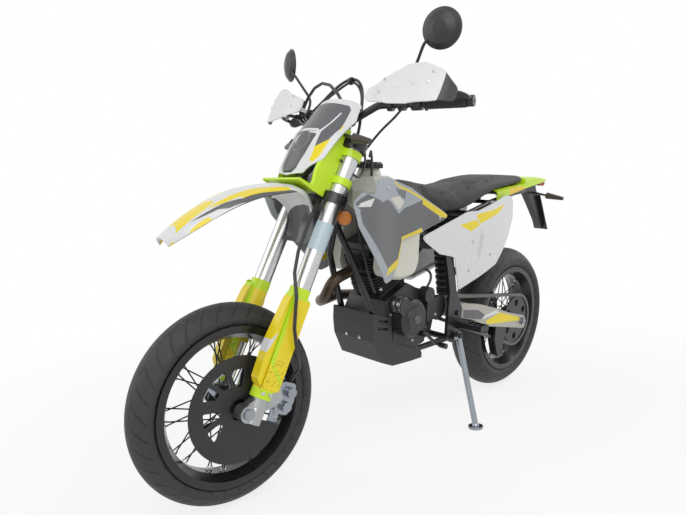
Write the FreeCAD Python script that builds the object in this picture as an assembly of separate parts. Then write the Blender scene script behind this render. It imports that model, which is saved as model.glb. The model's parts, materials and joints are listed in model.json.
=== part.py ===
import FreeCAD, Part
import math
import os

from FreeCAD import Placement, Rotation, Vector

# A road-going enduro motorcycle on 17-inch wheels, in millimetres.
# The machine is modelled upright in three working frames and then stood on its side stand:
#   bike frame     x forward from a point below the swingarm pivot's rear reach, y left, z up
#   fork frame     x forward of the steering axis, y left, z up along the steering axis
#   wheel frame    y along the axle, centred in the wheel
# The stored frame is +X forward, +Y left, +Z up, on the ground at the middle of the footprint.

# ---- clearances -----------------------------------------------------------------------------
SEAT_GAP = 0.3            # between pieces that are bolted or pressed together
RUNNING_GAP = 0.05        # radial, shaft in bearing
SWEPT_GAP = 6.0           # between pieces that move past each other

# ---- how it is parked -----------------------------------------------------------------------
LEAN = 6.1                # degrees to the left, onto the side stand
STEER = -6.3              # degrees, turned a little to the right
STEER_LOCK = 42.0         # degrees from straight ahead to either stop

# ---- steering geometry ----------------------------------------------------------------------
RAKE = 26.5               # degrees
AXLE_OFFSET = 62.0        # axle ahead of the steering axis
LEG_OFFSET = 32.0         # fork legs ahead of the steering axis
LEG_SPREAD = 102.0        # fork leg from the centre plane
LOWER_CLAMP = 655.0       # lower clamp above the axle, along the steering axis
UPPER_CLAMP = 832.0
CLAMP_HEIGHT = 30.0
HEAD_LOW = (1132.3, 849.5)  # x, z where the steering axis meets the lower clamp's middle

# ---- wheels ---------------------------------------------------------------------------------
BEAD_RADIUS = 218.4       # 17 inch bead seat
RIM_WALL = 8.0
RIM_BED = 194.0           # inside radius of the rim at the spokes
RIM_FLANGE = 232.0
FRONT_RADIUS = 291.0
FRONT_TYRE_WIDTH = 114.0
FRONT_RIM_HALF = 44.5
REAR_RADIUS = 311.0
REAR_TYRE_WIDTH = 144.0
REAR_RIM_HALF = 54.0
TYRE_WALL = 9.0
SPOKES = 36
SPOKE_RADIUS = 2.0
AXLE_RADIUS = 10.0
FRONT_DISC_RADIUS = 145.0
REAR_DISC_RADIUS = 110.0
DISC_THICKNESS = 4.0
FRONT_DISC_PLANE = 60.0   # y of the front disc's middle
REAR_DISC_PLANE = -68.0

# ---- rear suspension and drive --------------------------------------------------------------
PIVOT = (530.0, 432.0)    # swingarm pivot, x and z
SWINGARM_LENGTH = 543.6   # pivot to rear axle
SWINGARM_DROP = 12.86     # degrees that the arm slopes down to the axle
ARM_INNER = 97.0
ARM_OUTER = 118.0
PLATE_INNER = 119.0       # frame side plates at the pivot
PLATE_OUTER = 131.0
CHAIN_PLANE = 85.0
CHAIN_WIDTH = 14.0
CHAIN_THICKNESS = 13.0
REAR_SPROCKET_RADIUS = 104.0
FRONT_SPROCKET_RADIUS = 29.0
FRONT_SPROCKET = (618.0, 462.0)

# ---- engine ---------------------------------------------------------------------------------
CASE_HALF = 84.0
CRANK = (792.0, 452.0)
CYLINDER_BASE = (842.0, 545.0)
CYLINDER_TILT = 24.0      # degrees forward of vertical
CYLINDER_HEIGHT = 105.0
HEAD_HEIGHT = 92.0
FIN_PITCH = 11.0
FIN_THICKNESS = 3.2
FIN_DEPTH = 20.0
BARREL_HALF = 46.0

# ---- front end pieces -----------------------------------------------------------------------
OUTER_TUBE_RADIUS = 27.0
INNER_TUBE_RADIUS = 22.0
OUTER_TUBE_FOOT = 345.0   # lower end of the outer tubes
STEM_RADIUS = 15.0
HEAD_TUBE_RADIUS = 29.0
BAR_RADIUS = 11.1
BAR_CLAMP = (50.0, 915.0)   # fork frame, forward and up
BAR_END = (-48.0, 410.0, 1002.0)
GRIP_RADIUS = 17.0
GRIP_LENGTH = 118.0
MIRROR_CENTRE = (91.0, 357.0, 1151.0)
MIRROR_RADIUS = 57.0
GUARD_WALL = 3.0

# ---- bodywork -------------------------------------------------------------------------------
PANEL_WALL = 3.5
PANEL_SIDE = 140.0        # y of the side panels at their widest
CAP_CENTRE = (914.0, 975.0)
CAP_RADIUS = 44.0
NECK_RADIUS = 34.0

# ---- side stand -----------------------------------------------------------------------------
STAND_PIVOT = (545.0, 150.0, 350.0)
STAND_FOOT_X = 562.0      # where the foot meets the ground, x of the bike frame
STAND_FOOT_Y = 262.0      # the same, out from the line of the tyres
STAND_TUBE = 11.0
STAND_FOOT_RADIUS = 27.0
STAND_FOLDED = (-1.0, 0.045, -0.055)   # where the leg points when it is folded up

# ---- seats for the rider, taken from the sections below ------------------------------------
PEG_X = 500.0
PEG_Z = 386.0
PEG_LENGTH = 88.0


# ---------------------------------------------------------------------------------------------
# Small geometry helpers
# ---------------------------------------------------------------------------------------------
def corner_arc(before, corner, after, radius):
    """Start, middle and end of the arc that rounds a corner, as large as its two runs allow."""
    a = before - corner
    b = after - corner
    shorter = min(a.Length, b.Length)
    a.normalize()
    b.normalize()
    half_turn = (math.pi - a.getAngle(b)) / 2
    cut = min(radius * math.tan(half_turn), 0.45 * shorter)
    bend = cut / math.tan(half_turn)
    middle = a + b
    middle.normalize()
    centre = corner + middle * (bend / math.cos(half_turn))
    return corner + a * cut, centre - middle * bend, corner + b * cut


def without_straight_corners(points, closed):
    """The points, less those where the line through them doesn't turn."""
    count = len(points)
    kept = []
    for i, point in enumerate(points):
        is_end = not closed and i in (0, count - 1)
        turn = (point - points[i - 1]).getAngle(points[(i + 1) % count] - point)
        if is_end or turn > 0.002:
            kept.append(point)
    return kept


def rounded_wire(points, radius, closed=False):
    """Straight runs through the points, joined by tangent arcs."""
    points = without_straight_corners([Vector(*p) for p in points], closed)
    edges = []
    count = len(points)
    corners = range(count) if closed else range(1, count - 1)
    arcs = [corner_arc(points[i - 1], points[i], points[(i + 1) % count], radius) for i in corners]
    last = arcs[-1][2] if closed else points[0]
    for start, middle, end in arcs:
        if (start - last).Length > 1e-4:
            edges.append(Part.LineSegment(last, start).toShape())
        edges.append(Part.Arc(start, middle, end).toShape())
        last = end
    if not closed:
        edges.append(Part.LineSegment(last, points[-1]).toShape())
    return Part.Wire(edges)


def pipe(points, radius, bend=60.0):
    """Round bar along straight runs joined by arcs."""
    points = [Vector(*p) for p in points]
    if len(points) == 2:
        return rod(points[0], points[1], radius)
    path = rounded_wire([tuple(p) for p in points], bend)
    section = Part.Wire(Part.makeCircle(radius, points[0], points[1] - points[0]))
    return path.makePipeShell([section], True, True)


def rod(start, end, radius):
    start, end = Vector(*start), Vector(*end)
    return Part.makeCylinder(radius, (end - start).Length, start, end - start)


def taper(start, end, radius, end_radius):
    start, end = Vector(*start), Vector(*end)
    return Part.makeCone(radius, end_radius, (end - start).Length, start, end - start)


def block(x0, x1, y0, y1, z0, z1):
    return Part.makeBox(x1 - x0, y1 - y0, z1 - z0, Vector(x0, y0, z0))


def side_plate(outline, y0, y1, radius=0.0):
    """Plate with an outline in x and z, from y0 to y1."""
    points = [(x, y0, z) for x, z in outline]
    if radius:
        wire = rounded_wire(points, radius, closed=True)
    else:
        wire = Part.makePolygon([Vector(*p) for p in points + points[:1]])
    return Part.Face(wire).extrude(Vector(0, y1 - y0, 0))


def front_plate(outline, x0, x1, radius):
    """Plate with an outline in y and z, from x0 to x1."""
    wire = rounded_wire([(x0, y, z) for y, z in outline], radius, closed=True)
    return Part.Face(wire).extrude(Vector(x1 - x0, 0, 0))


def skin(point_at, us, ws, push):
    """Smooth curved sheet through point_at(u, w), thickened along the vector push."""
    surface = Part.BSplineSurface()
    surface.interpolate([[Vector(*point_at(u, w)) for w in ws] for u in us])
    return surface.toShape().extrude(Vector(*push))


def span(low, high, count):
    return [low + (high - low) * i / (count - 1) for i in range(count)]


def smooth_section(points):
    curve = Part.BSplineCurve()
    curve.interpolate([Vector(*p) for p in points], PeriodicFlag=True)
    return Part.Wire(curve.toShape())


def lathe_y(profile, centre=(0, 0, 0)):
    """Full turn about the y axis of a closed outline of (radius, y) points."""
    points = [Vector(r, y, 0) for r, y in profile]
    face = Part.Face(Part.makePolygon(points + points[:1]))
    turned = face.revolve(Vector(0, 0, 0), Vector(0, 1, 0), 360)
    turned.translate(Vector(*centre))
    return turned


def lathe_along(profile, start, direction):
    """Full turn about a line of a closed outline of (radius, distance along the line) points."""
    points = [Vector(r, 0, d) for r, d in profile]
    face = Part.Face(Part.makePolygon(points + points[:1]))
    turned = face.revolve(Vector(0, 0, 0), Vector(0, 0, 1), 360)
    turned.Placement = Placement(Vector(*start), Rotation(Vector(0, 0, 1), Vector(*direction)))
    return turned


def ring(outer, inner, y0, y1, centre=(0, 0)):
    base = Vector(centre[0], y0, centre[1])
    up = Vector(0, 1, 0)
    solid = Part.makeCylinder(outer, y1 - y0, base, up)
    return solid.cut(Part.makeCylinder(inner, y1 - y0, base, up)) if inner else solid


def mirrored(shape):
    return shape.mirror(Vector(0, 0, 0), Vector(0, 1, 0))


def both_sides(shape):
    return [shape, mirrored(shape)]


def fused(shapes):
    whole = shapes[0].multiFuse(shapes[1:]) if len(shapes) > 1 else shapes[0]
    return whole.removeSplitter()


def polar(radius, degrees):
    return radius * math.cos(math.radians(degrees)), radius * math.sin(math.radians(degrees))


def blend(table, t):
    """Value at t from (t, value) pairs, straight between them."""
    if t <= table[0][0]:
        return table[0][1]
    for (t0, v0), (t1, v1) in zip(table, table[1:]):
        if t <= t1:
            return v0 + (v1 - v0) * (t - t0) / (t1 - t0)
    return table[-1][1]


# ---------------------------------------------------------------------------------------------
# Frames and places
# ---------------------------------------------------------------------------------------------
def rear_axle():
    """Middle of the rear axle in the bike frame."""
    drop = math.radians(SWINGARM_DROP)
    x = PIVOT[0] - SWINGARM_LENGTH * math.cos(drop)
    return Vector(x, 0, PIVOT[1] - SWINGARM_LENGTH * math.sin(drop))


def fork_placement():
    """Fork frame in the bike frame, straight ahead."""
    rake = math.radians(RAKE)
    up = Vector(-math.sin(rake), 0, math.cos(rake))
    origin = Vector(HEAD_LOW[0], 0, HEAD_LOW[1]) - up * LOWER_CLAMP
    return Placement(origin, Rotation(Vector(0, 1, 0), -RAKE))


def steered_placement():
    """Fork frame in the bike frame, with the steering turned."""
    return fork_placement().multiply(Placement(Vector(), Rotation(Vector(0, 0, 1), STEER)))


def tyre_low_point(centre, axis, radius, crown):
    """Height of the lowest point of a tyre whose tread is round across."""
    return centre.z - (radius - crown) * math.sqrt(1 - axis.z ** 2) - crown


def crown_radius(width):
    return width / 2


def stand_up(pitch):
    """Bike frame leaning on its stand, with this pitch, before it is set on the ground."""
    lean = Rotation(Vector(1, 0, 0), -LEAN)
    return Placement(Vector(), lean.multiply(Rotation(Vector(0, 1, 0), pitch)))


def tyre_heights(pose):
    rear = tyre_low_point(pose.multVec(rear_axle()), pose.Rotation.multVec(Vector(0, 1, 0)),
                          REAR_RADIUS, crown_radius(REAR_TYRE_WIDTH))
    fork = pose.multiply(steered_placement())
    front = tyre_low_point(fork.multVec(Vector(AXLE_OFFSET, 0, 0)), fork.Rotation.multVec(Vector(0, 1, 0)),
                           FRONT_RADIUS, crown_radius(FRONT_TYRE_WIDTH))
    return rear, front


def ground_placement():
    """Bike frame with both tyres on the ground, before it is centred on its footprint."""
    low, high = -25.0, 25.0
    for _ in range(60):
        pitch = (low + high) / 2
        rear, front = tyre_heights(stand_up(pitch))
        if front > rear:
            low = pitch
        else:
            high = pitch
    pose = stand_up((low + high) / 2)
    pose.Base = Vector(0, 0, -tyre_heights(pose)[0])
    return pose


# ---------------------------------------------------------------------------------------------
# Wheels, in the wheel frame
# ---------------------------------------------------------------------------------------------
def tyre(radius, width, rim_half):
    """Road tyre: round tread, bulged sidewalls and beads on the rim."""
    crown = crown_radius(width)
    bead = BEAD_RADIUS + SEAT_GAP
    toe = rim_half - 13.0
    heel = rim_half - SEAT_GAP

    def carcass(wall):
        """Crown point, shoulder and sidewall of one skin of the carcass, wall inside the tread."""
        tread = crown - wall
        lift = math.radians(35)
        shoulder = (radius - crown + tread * math.sin(lift), tread * math.cos(lift))
        middle = (radius - crown + tread * math.sin(2 * lift), tread * math.cos(2 * lift))
        return (radius - wall, 0.0), middle, shoulder

    outer, outer_mid, outer_shoulder = carcass(0.0)
    inner, inner_mid, inner_shoulder = carcass(TYRE_WALL)
    above_flange = (RIM_FLANGE + 3.0, rim_half + 3.0)
    inner_side = (RIM_FLANGE + 3.0, rim_half + 3.0 - TYRE_WALL)

    def half(sign):
        def at(p):
            return Vector(p[0], sign * p[1], 0)
        side_mid = ((outer_shoulder[0] + above_flange[0]) / 2, width / 2 - 1.0)
        inner_mid_side = ((inner_shoulder[0] + inner_side[0]) / 2, width / 2 - 1.0 - TYRE_WALL)
        return [
            Part.Arc(at(outer), at(outer_mid), at(outer_shoulder)),
            Part.Arc(at(outer_shoulder), at(side_mid), at(above_flange)),
            Part.LineSegment(at(above_flange), at((RIM_FLANGE + 1.0, heel - 1.0))),
            Part.LineSegment(at((RIM_FLANGE + 1.0, heel - 1.0)), at((bead, heel - 1.0))),
            Part.LineSegment(at((bead, heel - 1.0)), at((bead, toe))),
            Part.LineSegment(at((bead, toe)), at((bead + 6.0, toe))),
            Part.LineSegment(at((bead + 6.0, toe)), at(inner_side)),
            Part.Arc(at(inner_side), at(inner_mid_side), at(inner_shoulder)),
            Part.Arc(at(inner_shoulder), at(inner_mid), at(inner)),
        ]

    edges = [c.toShape() for c in half(1)] + [c.toShape() for c in half(-1)]
    section = Part.Face(Part.Wire(Part.__sortEdges__(edges)))
    return section.revolve(Vector(0, 0, 0), Vector(0, 1, 0), 360)


def rim(half_width):
    """Drop-centre rim with two flanges and a flat bed for the nipples."""
    bead = BEAD_RADIUS
    well = RIM_BED + RIM_WALL
    edge = half_width + 7.0
    outside = [(RIM_FLANGE, edge), (RIM_FLANGE, half_width), (bead, half_width), (bead, half_width - 14.0),
               (well, 20.0)]
    inside = [(RIM_BED, 22.0), (bead - RIM_WALL, edge)]
    profile = outside + [(r, -y) for r, y in reversed(outside)]
    profile += [(r, -y) for r, y in reversed(inside)] + inside
    return lathe_y(profile)


def spoke(flange_radius, flange_y, rim_y, start_angle, sweep):
    x0, z0 = polar(flange_radius, start_angle)
    x1, z1 = polar(RIM_BED - SEAT_GAP - 0.2, start_angle + sweep)
    return rod((x0, flange_y, z0), (x1, rim_y, z1), SPOKE_RADIUS)


def hub(barrel, flange, flange_y, end_left, end_right, carrier=None):
    """Hub shell with two spoke flanges, its laced spokes and the seats for disc and sprocket."""
    profile = [(AXLE_RADIUS + RUNNING_GAP, end_left), (barrel * 0.75, end_left), (barrel * 0.75, flange_y + 4),
               (flange, flange_y + 4), (flange, flange_y - 2), (barrel, flange_y - 8),
               (barrel, 8 - flange_y), (flange, 2 - flange_y), (flange, -flange_y - 4),
               (barrel * 0.75, -flange_y - 4), (barrel * 0.75, end_right), (AXLE_RADIUS + RUNNING_GAP, end_right)]
    pieces = [lathe_y(profile)]
    if carrier:
        radius, low, high = carrier
        pieces.append(ring(radius, barrel * 0.7, low, high))
    step = 360.0 / (SPOKES / 4)
    for side in (1, -1):
        for i in range(SPOKES // 4):
            base = i * step + (step / 4 if side < 0 else 0)
            pieces.append(spoke(flange - 5, side * (flange_y + 2), side * 9, base, 52))
            pieces.append(spoke(flange - 5, side * (flange_y - 1), side * 9, base + step / 2, -52))
    return fused(pieces)


def brake_disc(radius, inner, plane, holes):
    """Drilled brake disc with a ring of bolt lugs."""
    y0, y1 = plane - DISC_THICKNESS / 2, plane + DISC_THICKNESS / 2
    disc = ring(radius, radius - 32.0, y0, y1)
    arms = []
    for i in range(6):
        x, z = polar(inner - 4.0, i * 60)
        far_x, far_z = polar(radius - 28.0, i * 60 + 18)
        arms.append(side_plate(bar_outline((x, z), (far_x, far_z), 9.0), y0, y1))
    centre = ring(inner, inner - 13.0, y0, y1)
    disc = fused([disc, centre] + arms)
    drills = []
    for i in range(holes):
        for row, radius_row in enumerate((radius - 9.0, radius - 21.0)):
            x, z = polar(radius_row, i * 360.0 / holes + row * 180.0 / holes)
            drills.append(rod((x, y0 - 1, z), (x, y1 + 1, z), 3.2))
    return disc.cut(Part.makeCompound(drills))


def bar_outline(start, end, half):
    """Four corners of a flat bar between two points in x and z."""
    dx, dz = end[0] - start[0], end[1] - start[1]
    length = math.hypot(dx, dz)
    nx, nz = -dz / length * half, dx / length * half
    return [(start[0] + nx, start[1] + nz), (end[0] + nx, end[1] + nz),
            (end[0] - nx, end[1] - nz), (start[0] - nx, start[1] - nz)]


FRONT_FLANGE = 42.0
FRONT_FLANGE_Y = 34.0
FRONT_HUB_END = 54.0
REAR_FLANGE = 52.0
REAR_FLANGE_Y = 36.0
REAR_HUB_END = 76.0


def front_wheel():
    disc_seat = FRONT_DISC_PLANE - DISC_THICKNESS / 2 - SEAT_GAP
    return {
        "front_tyre": tyre(FRONT_RADIUS, FRONT_TYRE_WIDTH, FRONT_RIM_HALF),
        "front_rim": rim(FRONT_RIM_HALF),
        "front_hub": hub(24.0, FRONT_FLANGE, FRONT_FLANGE_Y, disc_seat, -FRONT_HUB_END,
                         (FRONT_FLANGE, FRONT_FLANGE_Y, disc_seat)),
        "front_brake_disc": brake_disc(FRONT_DISC_RADIUS, FRONT_FLANGE, FRONT_DISC_PLANE, 24),
    }


def rear_wheel():
    disc_seat = REAR_DISC_PLANE + DISC_THICKNESS / 2 + SEAT_GAP
    sprocket_seat = CHAIN_PLANE - 3.0 - SEAT_GAP
    shell = hub(30.0, REAR_FLANGE, REAR_FLANGE_Y, sprocket_seat, disc_seat,
                (REAR_FLANGE, REAR_FLANGE_Y, sprocket_seat))
    return {
        "rear_tyre": tyre(REAR_RADIUS, REAR_TYRE_WIDTH, REAR_RIM_HALF),
        "rear_rim": rim(REAR_RIM_HALF),
        "rear_hub": shell.fuse(ring(REAR_FLANGE - 6.0, 20.0, disc_seat, -REAR_FLANGE_Y)).removeSplitter(),
        "rear_sprocket": rear_sprocket(),
        "rear_brake_disc": brake_disc(REAR_DISC_RADIUS, REAR_FLANGE - 6.0, REAR_DISC_PLANE, 20),
    }


def rear_sprocket():
    plate = ring(REAR_SPROCKET_RADIUS, 26.0, CHAIN_PLANE - 3.0, CHAIN_PLANE + 3.0)
    windows = []
    for i in range(6):
        x, z = polar(REAR_SPROCKET_RADIUS * 0.72, i * 60 + 30)
        windows.append(rod((x, CHAIN_PLANE - 4, z), (x, CHAIN_PLANE + 4, z), 15.0))
    return plate.cut(Part.makeCompound(windows))


# ---------------------------------------------------------------------------------------------
# Front end, in the fork frame
# ---------------------------------------------------------------------------------------------
def clamp_plate(level):
    """One triple clamp: a waisted plate that grips both tubes and the stem."""
    low, high = level - CLAMP_HEIGHT / 2, level + CLAMP_HEIGHT / 2
    grip = OUTER_TUBE_RADIUS + 10.0
    outline = [(-26, 0), (-16, 34), (LEG_OFFSET - 30, LEG_SPREAD + 12), (LEG_OFFSET + 20, LEG_SPREAD + 26),
               (LEG_OFFSET + 34, LEG_SPREAD - 8), (LEG_OFFSET + 6, 50), (22, 0)]
    points = [(x, y, low) for x, y in outline] + [(x, -y, low) for x, y in reversed(outline[1:-1])]
    plate = Part.Face(rounded_wire(points, 10.0, closed=True)).extrude(Vector(0, 0, high - low))
    rings = [rod((LEG_OFFSET, y, low), (LEG_OFFSET, y, high), grip) for y in (LEG_SPREAD, -LEG_SPREAD)]
    bores = [rod((LEG_OFFSET, y, low - 1), (LEG_OFFSET, y, high + 1), OUTER_TUBE_RADIUS + SEAT_GAP)
             for y in (LEG_SPREAD, -LEG_SPREAD)]
    return fused([plate] + rings).cut(Part.makeCompound(bores))


def triple_clamps():
    """Both clamps on the steering stem, with the risers that hold the handlebar."""
    stem = rod((0, 0, LOWER_CLAMP), (0, 0, UPPER_CLAMP), STEM_RADIUS)
    nut = rod((0, 0, UPPER_CLAMP), (0, 0, UPPER_CLAMP + CLAMP_HEIGHT / 2 + 12), 20.0)
    forward, height = BAR_CLAMP
    risers = []
    for y in (48.0, -48.0):
        foot = (LEG_OFFSET + 2, y, UPPER_CLAMP + 2)
        riser = rod(foot, (forward, y, height), 13.0)
        cap = rod((forward, y - 15, height), (forward, y + 15, height), BAR_RADIUS + 9.0)
        risers += [riser, cap]
    whole = fused([clamp_plate(LOWER_CLAMP), clamp_plate(UPPER_CLAMP), stem, nut] + risers)
    return whole.cut(rod((forward, -70, height), (forward, 70, height), BAR_RADIUS + SEAT_GAP))


def fork_tubes():
    """The two outer tubes of the upside-down fork."""
    top = UPPER_CLAMP + CLAMP_HEIGHT / 2 + 6.0
    tube = rod((LEG_OFFSET, LEG_SPREAD, OUTER_TUBE_FOOT), (LEG_OFFSET, LEG_SPREAD, top), OUTER_TUBE_RADIUS)
    bore = rod((LEG_OFFSET, LEG_SPREAD, OUTER_TUBE_FOOT - 1), (LEG_OFFSET, LEG_SPREAD, OUTER_TUBE_FOOT + 60),
               INNER_TUBE_RADIUS + SEAT_GAP)
    return both_sides(tube.cut(bore))


AXLE_LUG = 24.0
LEG_FOOT = -22.0


def fork_leg():
    """Sliding leg: chromed tube and the cast foot that holds the axle."""
    tube = rod((LEG_OFFSET, LEG_SPREAD, 20), (LEG_OFFSET, LEG_SPREAD, OUTER_TUBE_FOOT + 50), INNER_TUBE_RADIUS)
    sleeve = rod((LEG_OFFSET, LEG_SPREAD, LEG_FOOT), (LEG_OFFSET, LEG_SPREAD, 62), INNER_TUBE_RADIUS + 4)
    boss = rod((AXLE_OFFSET, LEG_SPREAD - 19, 0), (AXLE_OFFSET, LEG_SPREAD + 19, 0), AXLE_LUG)
    web = side_plate([(LEG_OFFSET - 10, LEG_FOOT), (AXLE_OFFSET, -AXLE_LUG), (AXLE_OFFSET + 14, 18),
                      (LEG_OFFSET + 10, 60), (LEG_OFFSET - 10, 50)], LEG_SPREAD - 14, LEG_SPREAD + 14)
    whole = fused([tube, sleeve, boss, web])
    bore = rod((AXLE_OFFSET, 60, 0), (AXLE_OFFSET, 140, 0), AXLE_RADIUS + SEAT_GAP)
    faces = [rod((AXLE_OFFSET, y0, 0), (AXLE_OFFSET, y1, 0), 17)
             for y0, y1 in ((60, LEG_SPREAD - 19), (LEG_SPREAD + 19, 140))]
    return whole.cut(bore).cut(Part.makeCompound(faces))


def fork_legs():
    leg = fork_leg()
    caliper_ear = side_plate([(LEG_OFFSET - 20, 8), (LEG_OFFSET - 20, 100), (LEG_OFFSET - 62, 92),
                              (LEG_OFFSET - 80, 62), (LEG_OFFSET - 62, 38)],
                             LEG_SPREAD - 12, LEG_SPREAD - 2, 6.0)
    return [fused([leg, caliper_ear]), mirrored(leg)]


GUARD_TOP = 374.0
GUARD_FOOT = 34.0


def fork_guards():
    """Plastic shields that wrap the front and the outside of each sliding leg."""
    inner = INNER_TUBE_RADIUS + 7.5
    centre = (LEG_OFFSET, LEG_SPREAD)
    lowest = 50.0
    shell = rod(centre + (lowest,), centre + (GUARD_TOP,), inner + GUARD_WALL)
    hollow = rod(centre + (lowest - 1,), centre + (GUARD_TOP + 1,), inner)
    back = block(LEG_OFFSET - 80, LEG_OFFSET - 14, LEG_SPREAD - 80, LEG_SPREAD + 80, lowest - 2, GUARD_TOP + 2)
    shell = shell.cut(hollow).cut(back)
    nose = side_plate([(LEG_OFFSET + 30, 74), (LEG_OFFSET + 50, 100), (LEG_OFFSET + 56, 190),
                       (LEG_OFFSET + 44, 330), (LEG_OFFSET + 30, GUARD_TOP - 2)],
                      LEG_SPREAD - 8, LEG_SPREAD + 26, 8.0)
    wing = side_plate([(LEG_OFFSET - 30, 80), (LEG_OFFSET + 30, 66), (LEG_OFFSET + 34, GUARD_TOP - 4),
                       (LEG_OFFSET - 26, GUARD_TOP - 30)],
                      LEG_SPREAD + inner - 0.5, LEG_SPREAD + inner + GUARD_WALL, 10.0)
    grown = rod(centre + (lowest - 20,), centre + (GUARD_TOP + 20,), inner)
    guard = fused([shell, nose.cut(grown), wing])
    foot_space = block(LEG_OFFSET - 60, LEG_OFFSET + 60, LEG_SPREAD - 60, LEG_SPREAD + 60, -40, lowest)
    foot_space = foot_space.fuse(block(LEG_OFFSET - 60, LEG_OFFSET + 60, 0, FRONT_DISC_PLANE + 14, -40, 178))
    pad = ring_z(INNER_TUBE_RADIUS + SEAT_GAP, inner + 0.5, 300, 318)
    return both_sides(fused([guard.cut(foot_space), pad]))


def ring_z(inner, outer, low, high):
    """Ring around the left fork leg."""
    base = Vector(LEG_OFFSET, LEG_SPREAD, low)
    return Part.makeCylinder(outer, high - low, base).cut(Part.makeCylinder(inner, high - low, base))


def handlebar_points():
    forward, height = BAR_CLAMP
    end = Vector(*BAR_END)
    bend = Vector(forward - 4, 158, height + 44)
    half = [(forward, 75, height), tuple(bend), tuple(end)]
    return [(x, -y, z) for x, y, z in reversed(half)] + half


def grip_direction():
    points = handlebar_points()
    along = Vector(*points[-1]) - Vector(*points[-2])
    return along.normalize()


def handlebar():
    """Bent tube with a rubber grip at each end."""
    bar = pipe(handlebar_points(), BAR_RADIUS, 60.0)
    end = Vector(*BAR_END)
    along = grip_direction()
    start = end - along * (GRIP_LENGTH + 6)
    grip = lathe_along([(BAR_RADIUS + SEAT_GAP, 0), (GRIP_RADIUS + 5, 0), (GRIP_RADIUS + 5, 4), (GRIP_RADIUS, 6),
                        (GRIP_RADIUS, GRIP_LENGTH), (BAR_RADIUS + SEAT_GAP, GRIP_LENGTH)],
                       tuple(start), tuple(along))
    return [bar] + both_sides(grip)


def bar_point(distance):
    """Point on the straight grip stretch of the bar, this far in from its left end."""
    return Vector(*BAR_END) - grip_direction() * distance


def levers():
    """Clutch and brake levers, each with the clamp that holds it to the bar."""
    along = grip_direction()
    seat = bar_point(150)
    clamp = rod(tuple(seat - along * 15), tuple(seat + along * 15), BAR_RADIUS + 9)
    pivot = seat + Vector(34, 0, -14)
    arm = rod(tuple(seat), tuple(pivot), 9)
    tip = bar_point(40) + Vector(46, 0, -16)
    blade = pipe([tuple(pivot), tuple(pivot + (tip - pivot) * 0.35 + Vector(16, 0, 0)), tuple(tip)], 6.0, 80.0)
    boss = Part.makeSphere(8.5, tip)
    bore = rod(tuple(seat - along * 30), tuple(seat + along * 30), BAR_RADIUS + SEAT_GAP)
    left = fused([clamp, arm, blade, boss]).cut(bore)
    reservoir = rod(tuple(seat + Vector(32, -8, 10)), tuple(seat + Vector(38, -8, 44)), 17)
    neck = rod(tuple(seat + Vector(8, 0, 4)), tuple(seat + Vector(32, -8, 18)), 10)
    right = fused([left, reservoir, neck]).cut(bore)
    return [left, mirrored(right)]


def mirrors():
    """Round mirrors on thin stems that rise from the lever clamps."""
    seat = bar_point(196)
    along = grip_direction()
    clamp = rod(tuple(seat - along * 10), tuple(seat + along * 10), BAR_RADIUS + 8)
    head = Vector(*MIRROR_CENTRE)
    stem = pipe([tuple(seat + Vector(4, 0, 6)), tuple(seat + Vector(8, 6, 62)), tuple(head + Vector(0, -46, -38)),
                 tuple(head + Vector(2, 0, -6))], 4.5, 50.0)
    facing = Vector(-0.84, -0.34, 0.42).normalize()
    shell = lathe_along([(0, -9), (MIRROR_RADIUS, -9), (MIRROR_RADIUS, -4), (MIRROR_RADIUS * 0.75, 8),
                         (MIRROR_RADIUS * 0.35, 15), (0, 16)], MIRROR_CENTRE, tuple(facing * -1))
    bore = rod(tuple(seat - along * 20), tuple(seat + along * 20), BAR_RADIUS + SEAT_GAP)
    return both_sides(fused([clamp, stem, shell]).cut(bore))


HAND_GUARD_OUTLINE = [(150, 946), (160, 984), (236, 1010), (292, 1040), (346, 1046), (398, 1030), (432, 992),
                      (434, 950), (384, 932), (322, 918), (262, 922), (206, 934)]


def hand_guard_face(y, z):
    """Forward reach of the hand guard: flat in front of the lever and wrapped round its end."""
    reach = blend([(130, 96), (240, 108), (330, 102), (400, 70), (445, 22)], y)
    return reach - 0.0012 * (z - 985) ** 2


def hand_guards():
    """Curved shields, each on an aluminium strap from the bar end to the bar clamp."""
    sheet = skin(lambda y, z: (hand_guard_face(y, z), y, z), span(135, 450, 10), span(905, 1060, 5), (-4, 0, 0))
    outline = front_plate(HAND_GUARD_OUTLINE, -60, 140, 16.0)
    shield = sheet.common(outline)
    end = Vector(*BAR_END)
    along = grip_direction()
    plug = rod(tuple(end + along * SEAT_GAP), tuple(end + along * 16), 16)
    outer = end + along * 12
    strap = pipe([tuple(outer), (outer.x + 46, outer.y + 4, outer.z - 8), (hand_guard_face(330, 975) - 14, 330, 978),
                  (hand_guard_face(240, 975) - 15, 236, 972), (62, 176, 962)], 6.5, 40.0)
    foot = bar_point(232)
    clamp = rod(tuple(foot - along * 8), tuple(foot + along * 8), BAR_RADIUS + 8)
    link = rod((62, 176, 962), tuple(foot), 6.5)
    studs = [rod((hand_guard_face(y, 976) - 16, y, 976), (hand_guard_face(y, 976) - 1, y, 976), 6)
             for y in (240, 330)]
    bore = pipe(handlebar_points(), BAR_RADIUS + SEAT_GAP, 60.0)
    return both_sides(fused([shield, plug, strap, clamp, link] + studs).cut(bore))


MASK_OUTLINE = [(0, 962), (82, 960), (110, 950), (121, 892), (111, 812), (99, 744), (74, 712), (60, 688),
                (0, 676)]
LAMP_OUTLINE = [(52, 828), (44, 752), (36, 700), (20, 684), (-20, 684), (-36, 700), (-44, 752), (-52, 828)]


def mask_face(y, z):
    """Forward reach of the headlight mask, which is full at the lamp and falls away to its sides."""
    crest = blend([(660, 158), (700, 160), (760, 158), (830, 150), (880, 133), (970, 107)], z)
    return crest - 0.0036 * y ** 2


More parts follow.
